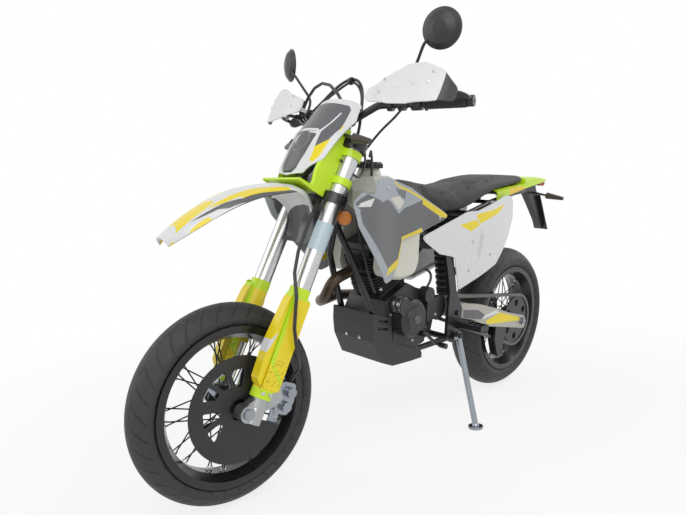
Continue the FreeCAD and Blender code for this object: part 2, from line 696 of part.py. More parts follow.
def headlight_mask():
    sheet = skin(lambda y, z: (mask_face(y, z), y, z), span(-130, 130, 9), span(660, 980, 9), (-3.0, 0, 0))
    outline = [(y, z) for y, z in MASK_OUTLINE] + [(-y, z) for y, z in reversed(MASK_OUTLINE[1:-1])]
    shell = sheet.common(front_plate(outline, 0, 220, 12.0))
    window = front_plate(LAMP_OUTLINE, 0, 260, 8.0)
    return shell.cut(window)


def headlight():
    """Lamp body behind the mask and its clear lens, standing a little proud of it."""
    inside = [(y * 0.97, 756 + (z - 756) * 0.97) for y, z in LAMP_OUTLINE]
    lens = skin(lambda y, z: (mask_face(y, z) + 6, y, z), span(-70, 70, 7), span(670, 840, 7), (-26, 0, 0))
    lens = lens.common(front_plate(inside, 0, 260, 8.0))
    bowl = Part.makeLoft([Part.Wire(rounded_wire([(x, y * k, 756 + (z - 756) * k) for y, z in LAMP_OUTLINE],
                                                 8.0, closed=True))
                          for x, k in ((128, 0.9), (104, 0.8), (88, 0.5))], True, False)
    foot = rod((98, 0, 668 + SEAT_GAP), (98, 0, 712), 8)
    return fused([lens, bowl, foot])


def mask_bracket():
    """Two cheeks that grip the fork tubes and carry the mask and the lamp between them."""
    cheek = side_plate([(44, 862), (66, 872), (112, 866), (136, 800), (142, 730), (156, 690), (176, 672),
                        (168, 654), (110, 648), (66, 648), (44, 664), (40, 740), (46, 800)], 88, 96, 6.0)
    bands = []
    for level in (710.0, 800.0):
        band = Part.makeCylinder(OUTER_TUBE_RADIUS + 5, 22, Vector(LEG_OFFSET, LEG_SPREAD, level - 11))
        bands.append(band)
    bridge = block(80, 104, -92, 92, 656, 668).fuse(block(100, 168, -92, 92, 656, 662))
    tube_space = rod((LEG_OFFSET, LEG_SPREAD, 500), (LEG_OFFSET, LEG_SPREAD, 900), OUTER_TUBE_RADIUS + SEAT_GAP)
    clamp_space = [Part.makeCylinder(200, CLAMP_HEIGHT + 2 * SEAT_GAP, Vector(-60, 0, level - CLAMP_HEIGHT / 2 - SEAT_GAP))
                   .common(block(-80, 72, -140, 140, level - 40, level + 40)) for level in (LOWER_CLAMP, UPPER_CLAMP)]
    half = fused([cheek] + bands).cut(tube_space).cut(Part.makeCompound(clamp_space))
    arms = [rod((110, 90, 690), (mask_face(92, 748), 90, 750), 5),
            rod((78, 90, 856), (mask_face(94, 880), 92, 880), 5)]
    mask_space = skin(lambda y, z: (mask_face(y, z) - 3 - SEAT_GAP, y, z), span(-130, 130, 9),
                      span(660, 980, 9), (90, 0, 0))
    half = fused([half] + arms).cut(mask_space)
    return fused([half, mirrored(half), bridge])


FENDER_LINE = [(445, 352, 30), (405, 420, 62), (350, 500, 82), (282, 572, 94), (215, 620, 98), (142, 650, 96),
               (60, 628, 66), (20, 580, 64), (8, 520, 60)]


def fender_section(forward, up, half, tilt):
    """Closed section across the fender: a thin arched strip with turned-down edges."""
    wall, sag, drop = 4.0, 16.0, 26.0
    down = Vector(math.sin(math.radians(tilt)) * -1, 0, -math.cos(math.radians(tilt)))
    outer = [(0, 0), (0.55, 0.22), (0.88, 0.8), (1.0, 1.6)]
    points = []
    for share, fall in outer[::-1]:
        points.append((-share * half, fall * sag))
    for share, fall in outer[1:]:
        points.append((share * half, fall * sag))
    inner = [(y * (1 - wall / half), d + wall) for y, d in reversed(points)]
    outline = points + inner
    del drop
    return Part.makePolygon([Vector(forward, y, up) + down * d for y, d in outline + outline[:1]])


def front_fender():
    """High front fender: a long beak under the lower clamp whose tail runs down between the legs."""
    sections = []
    for i, (forward, up, half) in enumerate(FENDER_LINE):
        before = FENDER_LINE[max(i - 1, 0)]
        after = FENDER_LINE[min(i + 1, len(FENDER_LINE) - 1)]
        run, rise = before[0] - after[0], before[1] - after[1]
        tilt = -math.degrees(math.atan2(rise, run))
        sections.append(fender_section(forward, up, half, -tilt * -1))
    beak = Part.makeLoft(sections, True, False)
    low = LOWER_CLAMP - CLAMP_HEIGHT / 2 - SEAT_GAP
    post = rod((26, 0, 584), (26, 0, low), 16)
    return fused([beak, post])


def front_indicators():
    """Slim turn indicators on short stems from the mask bracket."""
    stem = rod((77, 98, 846), (80, 150, 832), 6)
    head = taper((80, 148, 832), (66, 206, 826), 15, 8)
    return both_sides(fused([stem, head]))


def front_axle():
    """Axle through both feet, with the spacers that centre the hub."""
    shaft = rod((AXLE_OFFSET, -LEG_SPREAD - 19, 0), (AXLE_OFFSET, LEG_SPREAD + 19, 0), AXLE_RADIUS)
    head = rod((AXLE_OFFSET, LEG_SPREAD + 19 + SEAT_GAP, 0), (AXLE_OFFSET, LEG_SPREAD + 26, 0), 15)
    core = rod((AXLE_OFFSET, LEG_SPREAD + 18, 0), (AXLE_OFFSET, LEG_SPREAD + 22, 0), AXLE_RADIUS)
    leg_face = LEG_SPREAD - 19 - SEAT_GAP
    left = rod((AXLE_OFFSET, FRONT_DISC_PLANE + 3, 0), (AXLE_OFFSET, leg_face, 0), 13)
    right = rod((AXLE_OFFSET, -leg_face, 0), (AXLE_OFFSET, -FRONT_HUB_END - 1, 0), 13)
    return fused([shaft, core, head, left, right])


CALIPER = (LEG_OFFSET - 96.0, 66.0)


def front_caliper():
    """Two-piston caliper astride the disc, bolted to the ear on the left leg."""
    x, z = CALIPER
    outline = [(x - 26, z - 44), (x + 22, z - 46), (x + 32, z - 10), (x + 30, z + 46), (x - 20, z + 50),
               (x - 34, z)]
    body = side_plate(outline, FRONT_DISC_PLANE - 16, LEG_SPREAD - 12 - SEAT_GAP, 12.0)
    gap = ring(FRONT_DISC_RADIUS + 6, 0, FRONT_DISC_PLANE - 5, FRONT_DISC_PLANE + 5, (AXLE_OFFSET, 0))
    pistons = [rod((x - 6, LEG_SPREAD - 20, z + d), (x - 6, LEG_SPREAD + 4, z + d), 15) for d in (-20, 22)]
    return fused([body.cut(gap)] + pistons)


def disc_guard():
    """Slotted plastic shield that covers the front disc on the outside."""
    y0, y1 = FRONT_DISC_PLANE + 8, FRONT_DISC_PLANE + 12
    plate = ring(FRONT_DISC_RADIUS + 8, 30, y0, y1, (AXLE_OFFSET, 0))
    slots = []
    for start, sweep, inner, outer in ((58, 24, 66, 118), (30, 22, 74, 124), (4, 20, 82, 124),
                                       (-34, 22, 60, 112), (-62, 20, 62, 108)):
        corners = [polar(inner, start), polar(outer, start - 8), polar(outer, start - 8 + sweep),
                   polar(inner, start + sweep * 0.7)]
        slots.append(side_plate([(AXLE_OFFSET + a, b) for a, b in corners], y0 - 1, y1 + 1, 4))
    caliper_space = block(CALIPER[0] - 60, LEG_OFFSET - 34, y0 - 1, y1 + 1, -10, 140)
    boss = rod((LEG_OFFSET, y1 - 1, 30), (LEG_OFFSET, LEG_SPREAD - INNER_TUBE_RADIUS - 4 + 1, 30), 8)
    leg_space = rod((LEG_OFFSET, LEG_SPREAD, -60), (LEG_OFFSET, LEG_SPREAD, 120),
                    INNER_TUBE_RADIUS + 4 + SEAT_GAP)
    return fused([plate.cut(Part.makeCompound(slots)).cut(caliper_space), boss]).cut(leg_space)


def instrument():
    """Small digital meter behind the top of the mask."""
    case = side_plate([(58, 906), (100, 920), (94, 940), (50, 926)], -31, 31, 5.0)
    arm = rod((60, 0, UPPER_CLAMP + CLAMP_HEIGHT / 2 + SEAT_GAP + 0.2), (72, 0, 914), 7)
    bar_space = rod((BAR_CLAMP[0], -80, BAR_CLAMP[1]), (BAR_CLAMP[0], 80, BAR_CLAMP[1]), BAR_RADIUS + 1)
    return fused([case, arm]).cut(bar_space)


HOSE_RADIUS = 5.0


def brake_hose():
    """Brake hose from the right lever over the mask and down the left leg to the caliper."""
    points = [(38.3, -243.5, 1004.4), (56, -212, 1024), (78, -160, 1040), (94, -100, 1040), (100, -45, 1022),
              (96, 4, 990), (88, 46, 950), (79, 64, 900), (74, 66, 840), (71, 68, 760), (67, 76, 690),
              (68, 80, 645), (86, 96, 590), (92, 104, 540), (92, 106, 470), (84, 116, 405), (68, 142, 345),
              (40, 148, 260), (0, 148, 200), (-42, 128, 165), (-62, 92, 142), (-66, 84, 118)]
    return pipe(points, HOSE_RADIUS, 45.0)


def steering_parts():
    return {
        "triple_clamps": [triple_clamps()],
        "fork_tubes": fork_tubes(),
        "fork_legs": fork_legs(),
        "fork_guards": fork_guards(),
        "handlebar": handlebar(),
        "levers": levers(),
        "mirrors": mirrors(),
        "hand_guards": hand_guards(),
        "headlight_mask": [headlight_mask()],
        "headlight": [headlight()],
        "mask_bracket": [mask_bracket()],
        "front_fender": [front_fender()],
        "front_indicators": front_indicators(),
        "front_axle": [front_axle()],
        "front_caliper": [front_caliper()],
        "disc_guard": [disc_guard()],
        "instrument": [instrument()],
        "brake_hose": [brake_hose()],
    }


# ---------------------------------------------------------------------------------------------
# Frame and running gear, in the bike frame
# ---------------------------------------------------------------------------------------------
def on_axis(level):
    """Point on the steering axis at this level above the front axle."""
    return fork_placement().multVec(Vector(0, 0, level))


def arm_point(along, across):
    """Point of the swingarm's side view: distance back from the pivot and height above its line."""
    drop = math.radians(SWINGARM_DROP)
    return (PIVOT[0] - along * math.cos(drop) - across * math.sin(drop),
            PIVOT[1] - along * math.sin(drop) + across * math.cos(drop))


def stand_axis():
    """Hinge axis of the side stand: the leg turns about it from down to folded."""
    down = stand_foot() - Vector(*STAND_PIVOT)
    return down.cross(Vector(*STAND_FOLDED)).normalize()


def stand_foot():
    """Middle of the stand's sole, on the ground, in the bike frame."""
    return ground_placement().inverse().multVec(Vector(STAND_FOOT_X, STAND_FOOT_Y, 0))


STAND_EYE = 16.0
STAND_EYE_HALF = 8.0
STAND_PIN = 6.0
CRADLE_RADIUS = 11.0
CRADLE_LEVEL = 314.0
CRADLE_HALF = 74.0        # cradle tubes from the centre plane
BACKBONE_RADIUS = 22.0
CROSS_TUBE = (622.0, 748.0)
CROSS_RADIUS = 14.0
SHOCK_TOP = (472.0, 700.0)
SHOCK_FOOT = (424.0, 452.0)
SHOCK_EYE = 14.0
BRACKET_OUTER = 146.0     # outer face of the peg brackets


def backbone_points():
    return [tuple(on_axis(745)), (1000, 0, 880), (760, 0, 792), (CROSS_TUBE[0], 0, CROSS_TUBE[1])]


def main_frame():
    """Steel frame: head tube, backbone, downtube, cradle and the side plates at the pivot."""
    head_low = LOWER_CLAMP + CLAMP_HEIGHT / 2 + 0.5
    head_high = UPPER_CLAMP - CLAMP_HEIGHT / 2 - 0.5
    head = rod(tuple(on_axis(head_low)), tuple(on_axis(head_high)), HEAD_TUBE_RADIUS)
    bore = rod(tuple(on_axis(head_low - 1)), tuple(on_axis(head_high + 1)), STEM_RADIUS + RUNNING_GAP)
    backbone = pipe(backbone_points(), BACKBONE_RADIUS, 120)
    gusset = pipe([tuple(on_axis(740)), (1062, 0, 790), (1060, 0, 752)], 17, 60)
    pieces = [head, backbone, gusset]
    plate = side_plate([(505, 380), (500, 446), (545, 518), (579, 648), (600, 762), (650, 762), (625, 652),
                        (588, 520), (592, 430), (592, 345), (562, 322), (528, 330)], PLATE_INNER, PLATE_OUTER, 10)
    for side in (1, -1):
        pieces.append(pipe([(1064, side * 6, 776), (1040, side * 48, 680), (1000, side * 60, 590),
                            (946, side * CRADLE_HALF, 476), (938, side * CRADLE_HALF, 400),
                            (892, side * CRADLE_HALF, 322), (800, side * CRADLE_HALF, CRADLE_LEVEL),
                            (650, side * CRADLE_HALF, CRADLE_LEVEL), (570, side * 118, 340)],
                           CRADLE_RADIUS, 60))
        pieces.append(plate if side > 0 else mirrored(plate))
        y0, y1 = sorted((side * (PLATE_OUTER - 1), side * BRACKET_OUTER))
        pieces.append(block(PEG_X - 18, PEG_X + 30, y0, y1, PEG_Z - 14, PEG_Z + 14))
        y0, y1 = sorted((side * (CRADLE_HALF - 8), side * (CRADLE_HALF + 8)))
        pieces.append(block(700, 740, y0, y1, CRADLE_LEVEL + 2, CASE_BOTTOM - SEAT_GAP))
    pieces.append(rod((CROSS_TUBE[0], -PLATE_OUTER, CROSS_TUBE[1]), (CROSS_TUBE[0], PLATE_OUTER, CROSS_TUBE[1]),
                      CROSS_RADIUS))
    pieces.append(rod((566, -PLATE_OUTER, 340), (566, PLATE_OUTER, 340), 12))
    pieces.append(rod((PIVOT[0], -PLATE_OUTER - 8, PIVOT[1]), (PIVOT[0], PLATE_OUTER + 8, PIVOT[1]), AXLE_RADIUS))
    pieces.append(block(CASE_FRONT + SEAT_GAP, 952, -CRADLE_HALF, CRADLE_HALF, 428, 446))
    pieces.append(rod((CROSS_TUBE[0], 0, CROSS_TUBE[1]), (SHOCK_TOP[0] + 8, 0, SHOCK_TOP[1] + 4), 15))
    eye_space = rod((SHOCK_TOP[0], -20, SHOCK_TOP[1]), (SHOCK_TOP[0], 20, SHOCK_TOP[1]), SHOCK_EYE + SEAT_GAP)
    pivot, axis = Vector(*STAND_PIVOT), stand_axis()
    inner = pivot - axis * (STAND_EYE_HALF + 0.5)
    pieces.append(rod(tuple(inner), tuple(inner - axis * ((STAND_PIVOT[1] - PLATE_INNER - 14) / axis.y)), 14))
    pieces.append(rod(tuple(inner - axis * 2), tuple(pivot + axis * (STAND_EYE_HALF + 6)), STAND_PIN))
    head_start = pivot + axis * (STAND_EYE_HALF + 0.5)
    pieces.append(rod(tuple(head_start), tuple(head_start + axis * 5), 11))
    return fused(pieces).cut(bore).cut(eye_space)


def subframe():
    """Bolted tail frame: two rails with their struts and cross members."""
    pieces = []
    for side in (1, -1):
        rail = [(600, side * 100, 742), (450, side * 90, 798), (260, side * 76, 838), (60, side * 60, 868),
                (-70, side * 46, 878)]
        strut = [(548, side * 106, 560), (430, side * 100, 690), (270, side * 77, 836)]
        pieces += [pipe(rail, 10, 150), pipe(strut, 8, 150)]
    for x, half, z in ((430, 90, 802), (262, 76, 838), (60, 60, 868), (-66, 46, 877)):
        pieces.append(rod((x, -half, z), (x, half, z), 8))
    for x, z in ((430, 834), (262, 889), (60, 906)):
        pieces.append(block(x - 16, x + 16, -24, 24, blend([(60, 868), (430, 800)], x), z))
    space = rod((CROSS_TUBE[0], -140, CROSS_TUBE[1]), (CROSS_TUBE[0], 140, CROSS_TUBE[1]), CROSS_RADIUS + SEAT_GAP)
    under_seat = seat()
    under_seat.translate(Vector(0, 0, -SEAT_GAP))
    return fused(pieces).cut(space).cut(under_seat)


ARM_UNDERSIDE = ((263.0, -40.0), (SWINGARM_LENGTH + 40, -31.0))   # along the arm, across it


def swingarm():
    """Alloy swingarm: two box arms, the pivot tube and the brace ahead of the tyre."""
    length = SWINGARM_LENGTH
    side = [(-28, 20), (50, 38), (187, 44), (303, 38), (430, 27), (length + 18, 25), (length + 40, 4),
            ARM_UNDERSIDE[1], ARM_UNDERSIDE[0], (145, -20), (60, -19), (-28, -20)]
    outline = [arm_point(a, b) for a, b in side]
    arm = side_plate(outline, ARM_INNER, ARM_OUTER, 12)
    brace = side_plate([arm_point(a, b) for a, b in ((112, -14), (112, 34), (172, 40), (172, -20))],
                       -ARM_INNER - 1, ARM_INNER + 1, 8)
    tube = rod((PIVOT[0], -ARM_OUTER, PIVOT[1]), (PIVOT[0], ARM_OUTER, PIVOT[1]), 20)
    ears = [side_plate([arm_point(92, 0), arm_point(96, 44), arm_point(124, 44), arm_point(130, 0)], y - 4, y + 4)
            for y in (-SHOCK_EYE - 5.3, SHOCK_EYE + 5.3)]
    whole = fused([arm, mirrored(arm), brace, tube] + ears)
    axle = rear_axle()
    whole = whole.cut(rod((PIVOT[0], -150, PIVOT[1]), (PIVOT[0], 150, PIVOT[1]), AXLE_RADIUS + SEAT_GAP))
    whole = whole.cut(rod((SHOCK_FOOT[0], -40, SHOCK_FOOT[1]), (SHOCK_FOOT[0], 40, SHOCK_FOOT[1]), 7))
    return whole.cut(rod((axle.x, -150, axle.z), (axle.x, 150, axle.z), AXLE_RADIUS + SEAT_GAP))


def shock_absorber():
    """Single rear shock: eyes, body, spring as a fluted sleeve and the bolt at its foot."""
    top, foot = Vector(SHOCK_TOP[0], 0, SHOCK_TOP[1]), Vector(SHOCK_FOOT[0], 0, SHOCK_FOOT[1])
    along = (top - foot).normalize()
    length = (top - foot).Length
    profile = [(0, 8), (13, 8), (13, 24), (34, 24), (34, 30)]
    turns = 7
    for i in range(turns):
        low = 30 + i * (length - 74) / turns
        step = (length - 74) / turns
        profile += [(35, low + step * 0.25), (35, low + step * 0.6), (30, low + step * 0.8)]
    profile += [(34, length - 44), (34, length - 38), (22, length - 38), (22, length - 12), (12, length - 8),
                (0, length - 8)]
    body = lathe_along(profile, tuple(foot), tuple(along))
    eyes = [rod((p.x, -SHOCK_EYE, p.z), (p.x, SHOCK_EYE, p.z), SHOCK_EYE) for p in (top, foot)]
    bolt = rod((foot.x, -SHOCK_EYE - 10, foot.z), (foot.x, SHOCK_EYE + 10, foot.z), 7 - SEAT_GAP)
    return fused([body, bolt] + eyes)


def belt_outline(radius_rear, radius_front, y0, y1):
    """Solid slab that fills a belt line round both sprockets."""
    axle = rear_axle()
    front = Vector(FRONT_SPROCKET[0], 0, FRONT_SPROCKET[1])
    reach = math.hypot(front.x - axle.x, front.z - axle.z)
    slope = math.atan2(front.z - axle.z, front.x - axle.x)
    wrap = math.acos((radius_rear - radius_front) / reach)

    def at(centre, radius, angle):
        return (centre.x + radius * math.cos(angle), y0, centre.z + radius * math.sin(angle))

    top_rear, top_front = at(axle, radius_rear, slope + wrap), at(front, radius_front, slope + wrap)
    low_rear, low_front = at(axle, radius_rear, slope - wrap), at(front, radius_front, slope - wrap)
    edges = [
        Part.LineSegment(Vector(*top_rear), Vector(*top_front)).toShape(),
        Part.Arc(Vector(*top_front), Vector(*at(front, radius_front, slope)), Vector(*low_front)).toShape(),
        Part.LineSegment(Vector(*low_front), Vector(*low_rear)).toShape(),
        Part.Arc(Vector(*low_rear), Vector(*at(axle, radius_rear, slope + math.pi)), Vector(*top_rear)).toShape(),
    ]
    return Part.Face(Part.Wire(edges)).extrude(Vector(0, y1 - y0, 0))


def drive_chain():
    """Chain as one closed band round both sprockets."""
    y0, y1 = CHAIN_PLANE - CHAIN_WIDTH / 2, CHAIN_PLANE + CHAIN_WIDTH / 2
    inner_rear, inner_front = REAR_SPROCKET_RADIUS + 0.6, FRONT_SPROCKET_RADIUS + 0.6
    outer = belt_outline(inner_rear + CHAIN_THICKNESS, inner_front + CHAIN_THICKNESS, y0, y1)
    return outer.cut(belt_outline(inner_rear, inner_front, y0 - 1, y1 + 1))


def chain_guide():
    """Plastic block under the arm that the lower run passes through."""
    corners = [(354, -30), (366, -96), (404, -150), (426, -170), (444, -120), (446, -30)]
    block_body = side_plate([arm_point(a, b) for a, b in corners], CHAIN_PLANE - 15, ARM_INNER + 8, 8)
    y0, y1 = CHAIN_PLANE - CHAIN_WIDTH / 2 - 2.5, CHAIN_PLANE + CHAIN_WIDTH / 2 + 2.5
    inner_rear, inner_front = REAR_SPROCKET_RADIUS - 3, FRONT_SPROCKET_RADIUS - 3
    slot = belt_outline(inner_rear + CHAIN_THICKNESS + 6, inner_front + CHAIN_THICKNESS + 6, y0, y1)
    slot = slot.cut(belt_outline(inner_rear, inner_front, y0 - 1, y1 + 1))
    axle = rear_axle()
    turning = ring(REAR_SPROCKET_RADIUS + SWEPT_GAP, 0, CHAIN_PLANE - 16, CHAIN_PLANE + 12, (axle.x, axle.z))
    under = [(a, blend(ARM_UNDERSIDE, a) - SEAT_GAP) for a in (300, 480)]
    arm_space = side_plate([arm_point(a, b) for a, b in [(300, 20)] + under + [(480, 20)]],
                           ARM_INNER - SEAT_GAP, ARM_OUTER + 4)
    return block_body.cut(slot).cut(turning).cut(arm_space)


def rear_axle_piece():
    axle = rear_axle()
    x, z = axle.x, axle.z
    shaft = rod((x, -ARM_OUTER - 16, z), (x, ARM_OUTER + 16, z), AXLE_RADIUS)
    nuts = [rod((x, side * (ARM_OUTER + SEAT_GAP), z), (x, side * (ARM_OUTER + 12), z), 16) for side in (1, -1)]
    left = rod((x, CHAIN_PLANE + 4, z), (x, ARM_INNER - SEAT_GAP, z), 16)
    right = rod((x, -ARM_INNER + SEAT_GAP, z), (x, REAR_DISC_PLANE + 1, z), 16)
    return fused([shaft, left, right] + nuts)


def rear_caliper():
    """Caliper over the front of the rear disc, held against the inside of the right arm."""
    axle = rear_axle()
    x, z = axle.x + 84, axle.z + 34
    outline = [(x - 34, z - 30), (x + 26, z - 30), (x + 36, z), (x + 20, z + 34), (x - 26, z + 38)]
    body = side_plate(outline, -ARM_INNER + SEAT_GAP, REAR_DISC_PLANE + 14, 9)
    gap = ring(REAR_DISC_RADIUS + 6, 0, REAR_DISC_PLANE - 5, REAR_DISC_PLANE + 5, (axle.x, axle.z))
    return body.cut(gap)


# ---------------------------------------------------------------------------------------------
# Engine, in the bike frame
# ---------------------------------------------------------------------------------------------
CASE_BOTTOM = 332.0
CASE_FRONT = 925.0


def crankcase():
    """Engine block with its side covers, starter motor and output sprocket."""
    base_x, base_z = CYLINDER_BASE
    dx, dz = 62 * math.cos(math.radians(CYLINDER_TILT)), 62 * math.sin(math.radians(CYLINDER_TILT))
    outline = [(606, 405), (618, 354), (690, CASE_BOTTOM), (868, CASE_BOTTOM), (910, 372), (CASE_FRONT, 400),
               (CASE_FRONT, 470), (base_x + dx, base_z - dz), (base_x - dx, base_z + dz), (735, 548),
               (660, 528), (612, 500)]
    case = side_plate(outline, -CASE_HALF, CASE_HALF)
    rear_space = block(560, 668, 72, CASE_HALF + 10, 300, 620)
    cradle_spaces = both_sides(block(850, 960, 58, CASE_HALF + 10, 300, 425))
    crank_x, crank_z = CRANK
    left = lathe_y([(0, CASE_HALF - 2), (67, CASE_HALF - 2), (67, 124), (60, 132), (50, 134), (46, 142), (0, 143)],
                   (crank_x, 0, crank_z))
    right = lathe_y([(0, -CASE_HALF + 2), (80, -CASE_HALF + 2), (80, -124), (72, -132), (0, -134)],
                    (crank_x - 34, 0, crank_z - 14))
    starter = rod((851, CASE_HALF - 2, 506), (851, 132, 506), 27)
    top_cover = rod((690, CASE_HALF - 2, 520), (690, 116, 520), 28)
    sprocket_x, sprocket_z = FRONT_SPROCKET
    sprocket = rod((sprocket_x, CHAIN_PLANE - 3, sprocket_z), (sprocket_x, CHAIN_PLANE + 3, sprocket_z),
                   FRONT_SPROCKET_RADIUS)
    shaft = rod((sprocket_x, 70, sprocket_z), (sprocket_x, CHAIN_PLANE + 6, sprocket_z), 13)
    cover_low, cover_high = CHAIN_PLANE + CHAIN_WIDTH / 2 + 3.5, CHAIN_PLANE + CHAIN_WIDTH / 2 + 14
    cover = rod((sprocket_x + 4, cover_low, sprocket_z), (sprocket_x + 4, cover_high, sprocket_z), 46)
    bridge = block(sprocket_x + 20, 690, cover_low, cover_high, sprocket_z - 40, sprocket_z + 40)
    bridge_foot = block(670, 690, CASE_HALF - 2, cover_high, sprocket_z - 40, sprocket_z + 40)
    return fused([case.cut(rear_space).cut(Part.makeCompound(cradle_spaces)), left, right, starter, top_cover, sprocket, shaft, cover, bridge,
                  bridge_foot])


def engine_top_placement():
    return Placement(Vector(CYLINDER_BASE[0], 0, CYLINDER_BASE[1]), Rotation(Vector(0, 1, 0), CYLINDER_TILT))


def fin_plate(half_x, half_y, level):
    corners = [(-half_x, -half_y, level), (half_x, -half_y, level), (half_x, half_y, level), (-half_x, half_y, level)]
    wire = rounded_wire(corners, 14, closed=True)
    return Part.Face(wire).extrude(Vector(0, 0, FIN_THICKNESS))


def cylinder():
    """Finned barrel, then the finned head with its ports and valve cover."""
    reach = BARREL_HALF + FIN_DEPTH
    barrel = [Part.makeCylinder(BARREL_HALF, CYLINDER_HEIGHT - 2 * SEAT_GAP, Vector(0, 0, SEAT_GAP)),
              Part.makeBox(110, 110, 8, Vector(-55, -55, SEAT_GAP))]
    count = int((CYLINDER_HEIGHT - 20) / FIN_PITCH)
    barrel += [fin_plate(reach - 4, reach, 16 + i * FIN_PITCH) for i in range(count)]
    head_low = CYLINDER_HEIGHT + SEAT_GAP
    head = [Part.makeBox(92, 96, HEAD_HEIGHT - 20, Vector(-46, -48, head_low))]
    head += [fin_plate(reach - 6, reach, head_low + 4 + i * FIN_PITCH) for i in range(5)]
    cover_low = head_low + HEAD_HEIGHT - 24
    head.append(Part.makeBox(84, 112, 30, Vector(-42, -56, cover_low)))
    head.append(rod((40, 0, head_low + 34), (74, 0, head_low + 30), 24))
    head.append(rod((-40, 0, head_low + 56), (-70, 0, head_low + 46), 22))
    solids = [fused(barrel), fused(head)]
    for solid in solids:
        solid.Placement = engine_top_placement().multiply(solid.Placement)
    return solids


def exhaust_start():
    return engine_top_placement().multVec(Vector(74 + 2 * SEAT_GAP, 0, CYLINDER_HEIGHT + SEAT_GAP + 30))


def exhaust_points():
    start = exhaust_start()
    along = engine_top_placement().Rotation.multVec(Vector(34, 0, -4)).normalize()
    return [tuple(start), tuple(start + along * 34), (1062, -6, 600), (1064, -42, 532),
            (1016, -112, 504), (900, -152, 503), (770, -172, 484), (637.6, -186.4, 496.2), (520, -190, 520)]


def exhaust_header():
    return pipe(exhaust_points(), 19, 55)


SILENCER_END = (66.0, -204.0, 612.0)
SILENCER_RADIUS = 44.0


def silencer():
    """Straight silencer on the right with a conical inlet and an end cap."""
    start = Vector(*exhaust_points()[-1])
    end = Vector(*SILENCER_END)
    along = (end - start).normalize()
    length = (end - start).Length
    profile = [(0, 1.3), (22, 1.3), (22, 34), (SILENCER_RADIUS, 92), (SILENCER_RADIUS, length - 24),
               (SILENCER_RADIUS - 12, length), (16, length), (16, length - 30), (0, length - 30)]
    body = lathe_along(profile, tuple(start), tuple(along))
    grip = start + along * 62
    hanger = rod((575, -PLATE_OUTER - 9, 548), tuple(grip), 8)
    flange = rod((575, -PLATE_OUTER - SEAT_GAP, 548), (575, -PLATE_OUTER - 14, 548), 14)
    return fused([body, hanger, flange])


def carburettor():
    """Carburettor behind the head and the rubber boot back to the air box."""
    back = engine_top_placement().Rotation.multVec(Vector(-30, 0, -10)).normalize()
    port = engine_top_placement().multVec(Vector(-70, 0, CYLINDER_HEIGHT + SEAT_GAP + 46))
    start = port + back * SEAT_GAP
    throat = rod(tuple(start), tuple(start + back * 84), 24)
    middle = start + back * 42
    bowl = rod((middle.x, 0, middle.z), (middle.x, 0, middle.z - 64), 27)
    cap = rod((middle.x, 0, middle.z), (middle.x, 0, middle.z + 40), 23)
    return [fused([throat, bowl, cap]), boot(start + back * (84 + SEAT_GAP), back)]


AIRBOX_FRONT = 412.0


def boot(start, back):
    points = [tuple(start), tuple(start + back * 40), (620, 46, 690), (500, 54, 720), (AIRBOX_FRONT + SEAT_GAP, 54, 720)]
    return pipe(points, 23, 90)


def airbox():
    box = block(244, AIRBOX_FRONT, -76, 76, 650, 784)
    return box.makeFillet(10, box.Edges)


# ---------------------------------------------------------------------------------------------
# Bodywork, in the bike frame
# ---------------------------------------------------------------------------------------------
SEAT_SECTIONS = [(850, 50, 932, 898), (780, 68, 921, 862), (700, 84, 907, 832), (624, 98, 899, 806),
                 (541, 110, 896, 807), (450, 115, 908, 829), (392, 114, 921, 850), (300, 107, 933, 879),
                 (234, 99, 938, 896), (100, 82, 939, 906), (-20, 66, 937, 914), (-48, 54, 934, 917)]


def seat():
    """Long narrow saddle with a flat base and a crowned top."""
    wires = []
    for x, half, top, base in SEAT_SECTIONS:
        tall = top - base
        outline = [(-half, base), (-half, base + tall * 0.45), (-half * 0.84, base + tall * 0.86),
                   (-half * 0.45, top), (half * 0.45, top), (half * 0.84, base + tall * 0.86),
                   (half, base + tall * 0.45), (half, base)]
        wires.append(Part.makePolygon([Vector(x, y, z) for y, z in outline + outline[:1]]))
    return Part.makeLoft(wires, True, True)


TANK_SECTIONS = [(664, 84, 806, 776), (700, 96, 824, 780), (780, 101, 854, 790), (853, 103, 884, 799),
                 (861, 103, 928, 800), (900, 100, 940, 804), (965, 92, 938, 812), (1000, 60, 932, 826),
                 (1036, 44, 920, 852)]


def tank_body():
    wires = []
    for x, half, top, base in TANK_SECTIONS:
        tall = top - base
        outline = [(-half, base), (-half, base + tall * 0.6), (-half * 0.7, top), (half * 0.7, top),
                   (half, base + tall * 0.6), (half, base)]
        wires.append(Part.makePolygon([Vector(x, y, z) for y, z in outline + outline[:1]]))
    return Part.makeLoft(wires, True, True)


LOBE_OUTLINE = [(798, 800), (798, 650), (816, 610), (880, 600), (950, 610), (964, 640), (946, 812), (930, 830)]


def tank_lobe():
    """Low side lobe of the tank beside the engine."""
    def section(y, share):
        return rounded_wire([(878 + (x - 878) * share, y, 712 + (z - 712) * share) for x, z in LOBE_OUTLINE],
                            24, closed=True)
    return Part.makeLoft([section(76, 0.97), section(128, 1.0), section(142, 0.9)], True, True)


